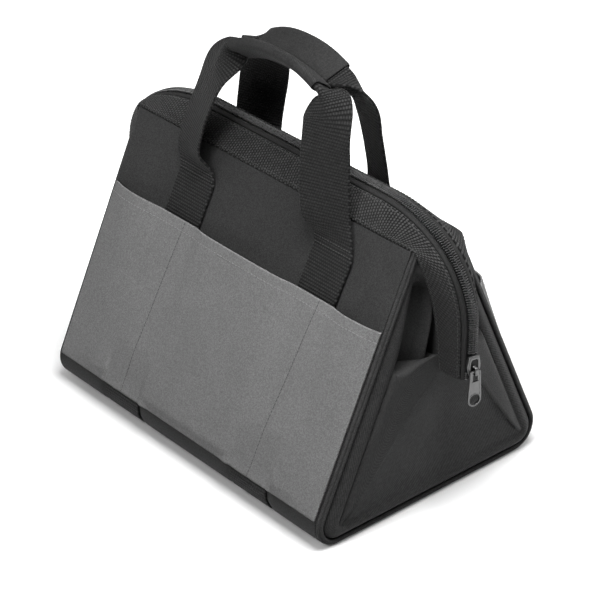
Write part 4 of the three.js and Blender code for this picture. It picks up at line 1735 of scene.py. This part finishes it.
@dataclass
class Slider:
    """Slider with its bail, and the pull that hangs on it, in the frame of the tail's ridge."""

    at: float = 2.7
    length: float = 16.0
    width: float = 10.6
    waist: float = 8.4
    face: float = 2.9
    layers: tuple[Layer, ...] = (
        Layer((0.0,), -1.1, 0.0, 0.35),
        Layer((0.9,), -3.2, -0.9, 0.2),
        Layer((1.0, 2.3), -0.3, 0.5, 0.25),
    )
    # Thin plate of painted shade inside the rim.
    well: Layer = Layer((2.2,), -0.2, 0.06, 0.05)
    bail_width: float = 2.4
    bail_length: float = 7.0
    bail_height: float = 4.0
    bail_wire: float = 1.3
    bail_top: float = 0.5
    bail_corner: float = 1.5
    bail_sunk: float = 0.5
    pivot_down: float = 3.6
    pivot_out: float = 4.4
    pull_length: float = 28.5
    pull_width: float = 11.0
    pull_neck: float = 8.6
    pull_thickness: float = 1.6
    pull_bar: float = 1.8
    hole_radius: float = 4.2
    slot_length: float = 6.6
    slot_width: float = 4.0
    bar: float = 1.0
    bar_reach: float = 0.9
    ring: float = 0.75
    rim: float = 1.3
    panel_inset: float = 0.2
    panel_sunk: float = 0.3

    def placed(self, points: Array) -> Array:
        """Move points from the slider's own frame to the bag's.

        Args:
            points: Points, side by up by out.

        Returns:
            The points in the bag's frame.
        """
        at, _, _, normal, side = RIDGE.axes(np.array(self.at))
        up = np.array([0.0, 0.0, 1.0])
        return at + points[..., :1] * side + points[..., 1:2] * up + points[..., 2:] * normal

    def plate(self, outlines: Sequence[Array], low: float, high: float, bevel: float) -> Patch:
        """Fill outlines to a plate with rounded edges.

        Args:
            outlines: Closed outlines, side by up; the inner ones are holes.
            low: Lower face along the normal.
            high: Upper face.
            bevel: Radius of the edges.

        Returns:
            The plate, in the bag's frame.
        """
        curve = bpy.data.curves.new("outline", "CURVE")
        curve.dimensions = "2D"
        curve.fill_mode = "BOTH"
        curve.extrude = (high - low) / 2 - bevel
        curve.bevel_depth = bevel
        curve.bevel_resolution = 2
        curve.offset = -bevel
        for outline in outlines:
            spline = curve.splines.new("POLY")
            spline.points.add(len(outline) - 1)
            for point, (u, v) in zip(spline.points, outline):
                point.co = (u, v, 0.0, 1.0)
            spline.use_cyclic_u = True
        holder = link("outline", curve)
        mesh = bpy.data.meshes.new_from_object(holder.evaluated_get(bpy.context.evaluated_depsgraph_get()))
        bpy.data.objects.remove(holder)
        bpy.data.curves.remove(curve)
        mesh.calc_loop_triangles()
        points = np.array([vertex.co for vertex in mesh.vertices]) + np.array([0.0, 0.0, (low + high) / 2])
        tris = np.array([triangle.vertices for triangle in mesh.loop_triangles])
        bpy.data.meshes.remove(mesh)
        none = np.zeros((0, 4), int)
        return Patch(self.placed(points), none, np.zeros((0, 4, 2)), tris, points[tris][..., :2])

    def slider_outline(self, inset: float) -> Array:
        """Outline the slider's plates, narrow at the foot.

        Args:
            inset: Distance inside the full outline.

        Returns:
            Points, side by up.
        """
        half = self.width / 2 - inset
        tip = self.length / 2 - inset
        widths = Table(
            "v half",
            (-1.0, 0.32 * self.waist),
            (-0.7, 0.78 * half),
            (-0.2, half),
            (0.2, half),
            (0.75, self.waist / 2 - inset * 0.6),
            (1.0, self.waist / 2 - inset),
        )
        v = np.linspace(-1, 1, 25)
        right = np.stack([widths.read("half", v), v * tip], axis=1)
        return np.concatenate([right, right[::-1] * np.array([-1.0, 1.0])])

    def pull_outline(self, inset: float) -> Array:
        """Outline the pull, with a round foot.

        Args:
            inset: Distance inside the full outline.

        Returns:
            Points, side by up.
        """
        top = self.pull_bar / 2 - inset
        wide, neck = self.pull_width / 2 - inset, self.pull_neck / 2 - inset
        drop = self.pull_length - self.pull_bar / 2 - self.pull_width / 2
        turn = np.linspace(0.0, -math.pi, 25)
        foot = np.stack([wide * np.cos(turn), wide * np.sin(turn) - drop], axis=1)
        return np.concatenate([[(-neck, top), (neck, top)], foot]) - np.array([0.0, self.pivot_down])

    def build(self) -> None:
        """Make the slider and the pull."""
        self.add_slider()
        self.add_pull()

    def add_slider(self) -> None:
        """Make the slider's plates, its raised rim, a thin near-black plate of painted shade in the well
        inside the rim, and the bail.
        """
        *patches, well = [
            self.plate(
                [self.slider_outline(inset) for inset in layer.insets],
                self.face + layer.low,
                self.face + layer.high,
                layer.bevel,
            )
            for layer in (*self.layers, self.well)
        ]
        # The well's plate is painted shade.
        add_piece("slider_well", [well], Finishes.SHADE, Slot.METAL)
        add_piece("slider", [*patches, self.bail()], Finishes.METAL, Slot.METAL, ["zip_slider"])

    def bail(self) -> Patch:
        """Bend the bail up from the slider's face, over the pull's bar and down again.

        Returns:
            The bail.
        """
        radius, corner = self.bail_wire / 2, self.bail_corner
        near, far = self.bail_top - radius, self.bail_top - self.bail_length + radius
        rise = self.face + self.bail_height - radius - corner
        foot = self.face - self.bail_sunk
        turn = np.linspace(0.0, math.pi / 2, 7)
        over, up = corner * np.cos(turn), corner * np.sin(turn)
        first = np.stack([near - corner + over, rise + up], axis=1)
        second = np.stack([far + corner - up, rise + over], axis=1)
        path = np.concatenate([[(near, foot)], first, second, [(far, foot)]])
        along = unit(np.gradient(path, axis=0))
        around = np.linspace(0.0, 2 * math.pi, 13)[:-1]
        squared = np.sign(np.cos(around)) * np.abs(np.cos(around)) ** 0.5
        depth = radius * np.sin(around)
        u = np.broadcast_to(self.bail_width / 2 * squared, (len(path), len(around)))
        v = path[:, :1] - along[:, 1:] * depth
        w = path[:, 1:] + along[:, :1] * depth
        return tube_patch(self.placed(np.stack([u, v, w], axis=-1)))

    def add_pull(self) -> None:
        """Make the pull: a plate with a raised rim, a ring round its hole and a bar under its slot."""
        low, high = self.pivot_out - self.pull_thickness / 2, self.pivot_out + self.pull_thickness / 2
        sunk = self.panel_sunk
        drop = self.pull_length - self.pull_bar / 2 - self.pull_width / 2 + self.pivot_down
        turn = np.linspace(0.0, 2 * math.pi, 33)[:-1]
        circle = np.stack([np.cos(turn), np.sin(turn)], axis=1)
        middle = np.array([0.0, -drop])
        slot_top = -self.pivot_down - self.pull_bar / 2
        slot_foot = slot_top - self.slot_length
        wide = self.slot_width / 2
        slot = np.array([(-wide, slot_top), (wide, slot_top), (wide, slot_foot), (-wide, slot_foot)])
        wide, bar_foot = wide + self.bar_reach, slot_foot - self.bar
        bar = np.array([(-wide, bar_foot), (wide, bar_foot), (wide, slot_foot), (-wide, slot_foot)])
        hole = circle * self.hole_radius + middle
        ring = circle * (self.hole_radius + self.ring) + middle
        patches = [
            self.plate([self.pull_outline(self.panel_inset), slot, hole], low + sunk, high - sunk, 0.1),
            self.plate([self.pull_outline(0.0), self.pull_outline(self.rim)], low, high, 0.3),
            self.plate([ring, hole], low, high, 0.2),
            self.plate([bar], low, high, 0.2),
        ]
        add_piece("pull_tab", patches, Finishes.METAL, Slot.METAL, ["zip_pull"], Body.PULL)


@dataclass(frozen=True)
class Carry:
    """How one handle hangs: its lean, and how far it sways, shifts along and drops."""

    lean: float
    sway: float
    shift: float
    drop: float


@dataclass
class Handles:
    """Two carry handles: webbing folded in half at the hand, inside a cloth sleeve."""

    fold_radius: float = 1.5
    sleeve_cloth: float = 1.2
    sleeve_room: float = 0.1
    half_width: float = 3.0
    half_depth: float = 11.0
    squareness: float = 4.0
    middle: float = 8.0
    grip_from: float = 6.22
    seam: float = 0.06
    sewn: tuple[float, ...] = (0.12, 0.62)
    place_step: float = 0.05
    place_edge: float = 0.03
    across_step: float = 1.0
    grip_step: float = 0.06
    grip_turns: int = 110
    sewn_pitch: float = 2.6
    sewn_thread: float = 0.55
    sewn_fill: float = 0.7
    leg: Table = field(default_factory=lambda: Table(
        "at z out in sway twist fold level free",
        (0, 185.4, 33.6, 0, 0, 0, 0, 1, 0),
        (1, 194, 31.4, 0, 0.4, -3, 0, 1, 0),
        (2, 207, 33.2, 0, 0.95, -18, 0, 0.9, 0.05),
        (3, 230, 31.8, 0.06, 0.8, -18, 0, 0.6, 0.15),
        (4, 254, 29.5, 0.135, 0.4, -15, 0, 0.3, 0.4),
        (5, 277, 27.2, 0.21, 0, -8, 0.06, 0.1, 0.7),
        (5.6, 289.6, 26, 0.28, 0, -3, 0.42, 0.04, 0.88),
        (6, 296.5, 25.2, 0.34, 0, 0, 0.95, 0, 1),
        (7, 305.5, 24.2, 0.66, 0, 0, 1, 0, 1),
        (8, 308, 24, 1, 0, 0, 1, 0, 1),
        (9, 305.5, 24.2, 1.34, 0, 0, 1, 0, 1),
    ))
    carries: dict[Side, Carry] = field(default_factory=lambda: {
        Side.FRONT: Carry(math.radians(41), -9.0, 0.0, 0.0),
        Side.BACK: Carry(math.radians(30), -11.0, -11.0, 10.0),
    })

    def read(self, column: str, place: Array) -> Array:
        """Read a column of the leg at places from the left foot to the right one."""
        return self.leg.read(column, self.middle - np.abs(place - self.middle))

    def centre(self, side: Side, place: Array) -> Array:
        """Find the middle line of a handle, before the back one is mirrored.

        Args:
            side: Wall that the handle is on.
            place: Places from the left foot to the right one.

        Returns:
            The points.
        """
        carry = self.carries[side]
        left, right = (TENT.strap_x(strap, TENT.down(side, TENT.stitch)) for strap in STRAPS)
        foot = np.where(place < self.middle, left, right)
        free = self.read("free", place)
        x = mix(foot, (left + right) / 2, self.read("in", place)) + carry.sway * self.read("sway", place)
        z = self.read("z", place) - carry.drop * free
        return np.stack([x + carry.shift * free, -self.read("out", place), z], axis=-1)

    def axes(self, side: Side, place: Array) -> tuple[Array, Array, Array]:
        """Find the handle's frame.

        Args:
            side: Wall that the handle is on.
            place: Places from the left foot (0) over the grip (8) to the right foot (16).

        Returns:
            Its points, sides and fronts.
        """
        small = 0.02
        before, after = np.maximum(place - small, 0.0), np.minimum(place + small, 2 * self.middle)
        along = unit(self.centre(side, after) - self.centre(side, before))
        lean = self.carries[side].lean
        facing = np.array([0.0, -math.cos(lean), math.sin(lean)])
        level = np.where(place < self.middle, 1.0, -1.0)[..., None] * np.array([1.0, 0.0, 0.0])
        across = unit(mix(unit(np.cross(along, facing)), level, self.read("level", place)[..., None]))
        twist = np.radians(self.read("twist", place))[..., None]
        turned = across * np.cos(twist) + np.cross(along, across) * np.sin(twist)
        across = turned + along * dot(along, across) * (1 - np.cos(twist))
        return self.centre(side, place), across, unit(np.cross(across, along))

    def laid(self, side: Side, place: Array, wide: Array, behind: Array) -> Array:
        """Lay points round a handle's middle line.

        Args:
            side: Wall that the handle is on.
            place: Places along the handle, as a column.
            wide: Distances to the side.
            behind: Distances behind the line.

        Returns:
            The points, mirrored for the back handle.
        """
        at, aside, front = self.axes(side, place[:, 0])
        points = at[:, None] + aside[:, None] * wide[..., None] - front[:, None] * behind[..., None]
        return points * np.array([1.0, -side.value, 1.0])

    def webbing(self, side: Side, place: Array, across: Array) -> Array:
        """Find points of the webbing, whose halves fold backwards about the middle line.

        Args:
            side: Wall that the handle is on.
            place: Places along the handle, as a column.
            across: Lengths across it, as a row.

        Returns:
            The points.
        """
        fold = np.clip(self.read("fold", place), 1e-3, 1.0)
        arc = self.fold_radius * math.pi / 2
        half = np.abs(across)
        angle = fold * math.pi * np.minimum(half, arc) / 2 / arc
        straight = np.maximum(half - arc, 0.0)
        radius = self.fold_radius / fold
        wide = np.sign(across) * (radius * np.sin(angle) + straight * np.cos(angle))
        behind = radius * (1 - np.cos(angle)) + straight * np.sin(angle)
        return self.laid(side, place, wide, behind)

    def sleeve(self, side: Side, place: Array, turn: Array) -> Array:
        """Find points of the cloth sleeve round the folded webbing, sewn along the back.

        Args:
            side: Wall that the handle is on.
            place: Places along the handle, as a column.
            turn: Angles round the sleeve, as a row.

        Returns:
            The points.
        """

        def squared(value: Array) -> Array:
            """Round a sine or cosine out towards a box."""
            return np.sign(value) * np.abs(value) ** (2 / self.squareness)

        middle = self.half_depth - GOODS.webbing / 2 - GOODS.gap - self.sleeve_room
        wide = self.half_width * squared(np.cos(turn))
        behind = middle + self.half_depth * squared(np.sin(turn))
        return self.laid(side, place, wide, behind)

    def build(self) -> None:
        """Make both handles and their sleeves."""
        for side in Side:
            self.add_webbing(side)
            self.add_sleeve(side)

    def add_webbing(self, side: Side) -> None:
        """Make the webbing of one handle and the stitches across its feet.

        Args:
            side: Wall that the handle is on.
        """
        place = stops(0.0, 2 * self.middle, self.place_step, self.place_edge)[:, None]
        half = GOODS.webbing_width / 2
        across = stops(-half, half, self.across_step)[None]
        points = self.webbing(side, place, across)
        weave = np.stack(np.meshgrid(across[0], lengths(points, 0)), axis=-1)
        strip = sheet_patch(points, weave, -GOODS.webbing / 2, GOODS.webbing / 2)
        name = f"handle_webbing_{side.label}"
        add_piece(name, [strip], Finishes.WEBBING, Slot.WEBBING, [f"handle_{side.label}"])
        normals = grid_normals(points)
        facing = normals * np.sign(normals[:1, :, 1:2].mean() * side.value)
        rows = []
        for sewn in self.sewn:
            for where in (sewn, 2 * self.middle - sewn):
                k = int(np.argmin(np.abs(place[:, 0] - where)))
                line = points[k] + facing[k] * GOODS.webbing / 2
                rows.append(stitch_row(line, facing[k], self.sewn_pitch, self.sewn_thread, self.sewn_fill))
        add_piece(f"handle_stitches_{side.label}", rows, Finishes.BLACK_THREAD, Slot.WEBBING)

    def add_sleeve(self, side: Side) -> None:
        """Make the sleeve of one handle.

        Args:
            side: Wall that the handle is on.
        """
        grip_to = 2 * self.middle - self.grip_from
        place = stops(self.grip_from, grip_to, self.grip_step, self.place_edge)[:, None]
        turn = np.linspace(math.pi / 2 + self.seam, 2.5 * math.pi - self.seam, self.grip_turns)[None]
        points = self.sleeve(side, place, turn)
        weave = weave_of(points)
        below, above = (-self.sleeve_cloth, 0.0) if side is Side.FRONT else (0.0, self.sleeve_cloth)
        cloth = sheet_patch(points, weave, below, above)
        name = f"sleeve_{side.label}"
        sleeve = add_piece(name, [cloth], Finishes.SLEEVE, Slot.SLEEVE, [f"grip_{side.label}"])
        flat = (lengths(points, 1)[-1] * MM, lengths(points, 0)[-1] * MM)


def direction(azimuth: float, elevation: float) -> Vector:
    """Find a direction from the bag.

    Args:
        azimuth: Degrees from the front, rising towards the right end.
        elevation: Degrees above the floor.

    Returns:
        The unit vector.
    """
    turn, rise = math.radians(azimuth), math.radians(elevation)
    level = math.cos(rise)
    return Vector((math.sin(turn) * level, -math.cos(turn) * level, math.sin(rise)))


@dataclass(frozen=True)
class Lamp:
    """Soft square light: its direction in degrees, distance and size in metres, and power in watts."""

    name: str
    azimuth: float
    elevation: float
    distance: float
    size: float
    power: float


@dataclass
class Studio:
    """Pale floor, soft lights and the camera, in metres and degrees."""

    target: Vector = field(default_factory=lambda: Vector((0.0, 0.0, 0.12)))
    azimuth: float = 49.12
    elevation: float = 29.86
    distance: float = 1.7667
    lens: float = 144.0
    sensor: float = 36.0
    shift: tuple[float, float] = (0.014, -0.0468)
    ambient: float = 0.045
    floor_half: float = 4.0
    # Painted glow of the floor: none within glow_from of the bag's middle, full after glow_fade more.
    glow_from: float = 0.16
    glow_fade: float = 0.22
    glow: float = 0.8
    lamps: tuple[Lamp, ...] = (
        Lamp("key", 11.0, 40.0, 1.5, 0.5, 9.0),
        Lamp("fill", 66.0, 74.0, 1.0, 0.5, 12.0),
        Lamp("top", 60.0, 86.0, 1.9, 1.6, 2.0),
        Lamp("rim", 150.0, 35.0, 1.6, 0.9, 11.0),
    )

    def build(self) -> None:
        """Make the camera, floor and lights."""
        self.add_camera()
        self.add_floor()
        for lamp in self.lamps:
            self.add_light(lamp)
        world = bpy.data.worlds.new("studio")
        world.use_nodes = True
        sky = world.node_tree.nodes["Background"].inputs
        sky["Color"].default_value = (1.0, 1.0, 1.0, 1.0)
        sky["Strength"].default_value = self.ambient
        bpy.context.scene.world = world
        bpy.context.scene.view_settings.view_transform = "Standard"

    def add_camera(self) -> None:
        """Set the camera at the photograph's viewing angle."""
        data = bpy.data.cameras.new("camera")
        data.sensor_width = self.sensor
        data.lens = self.lens
        data.shift_x, data.shift_y = self.shift
        camera = link("camera", data)
        back = direction(self.azimuth, self.elevation)
        camera.location = self.target + back * self.distance
        camera.rotation_euler = back.to_track_quat("Z", "Y").to_euler()
        bpy.context.scene.camera = camera

    def add_floor(self) -> None:
        """Lay a pale floor that glows more away from the bag: a painted glow that whitens the floor past the
        bag's soft shadow.
        """
        half = self.floor_half
        corners = [(-half, -half, 0.0), (half, -half, 0.0), (half, half, 0.0), (-half, half, 0.0)]
        mesh = bpy.data.meshes.new("floor")
        mesh.from_pydata(corners, [], [(0, 1, 2, 3)])
        floor = link("floor", mesh)
        shader = Shader("pale_floor")
        place = shader.place()
        pale = shader.colours(shader.noise(place, 3.0), (0.9, 0.9, 0.9), (0.92, 0.92, 0.92))
        away = shader.value(shader.node("ShaderNodeVectorMath", {"operation": "LENGTH"}, {0: place}), "Value")
        # Painted glow: none near the bag's middle, rising to full strength further out.
        share = ((away - self.glow_from) / self.glow_fade).clamped()
        glow = shader.colours(share, (0.0, 0.0, 0.0), (self.glow, self.glow, self.glow))
        finish = shader.surface(
            Base_Color=pale,
            Roughness=0.9,
            Specular_IOR_Level=0.1,
            Emission_Color=glow,
            Emission_Strength=1.0,
        )
        floor.data.materials.append(finish)
        # The glowing floor is hidden from diffuse rays, so its painted glow does not light the bag.
        floor.visible_diffuse = False

    def add_light(self, lamp: Lamp) -> None:
        """Hang a soft light that looks at the bag.

        Args:
            lamp: The light's place, size and power.
        """
        data = bpy.data.lights.new(lamp.name, "AREA")
        data.size = lamp.size
        data.energy = lamp.power
        light = link(lamp.name, data)
        back = direction(lamp.azimuth, lamp.elevation)
        light.location = self.target + back * lamp.distance
        light.rotation_euler = back.to_track_quat("Z", "Y").to_euler()


def main() -> None:
    """Build the studio and the bag."""
    logging.basicConfig(level=logging.INFO, format="%(name)s: %(message)s")
    for part in (Studio(), BodyCloth(), Pockets(), Ends(), ZipTop(), Slider(), Handles()):
        part.build()


if __name__ == "__main__":
    main()
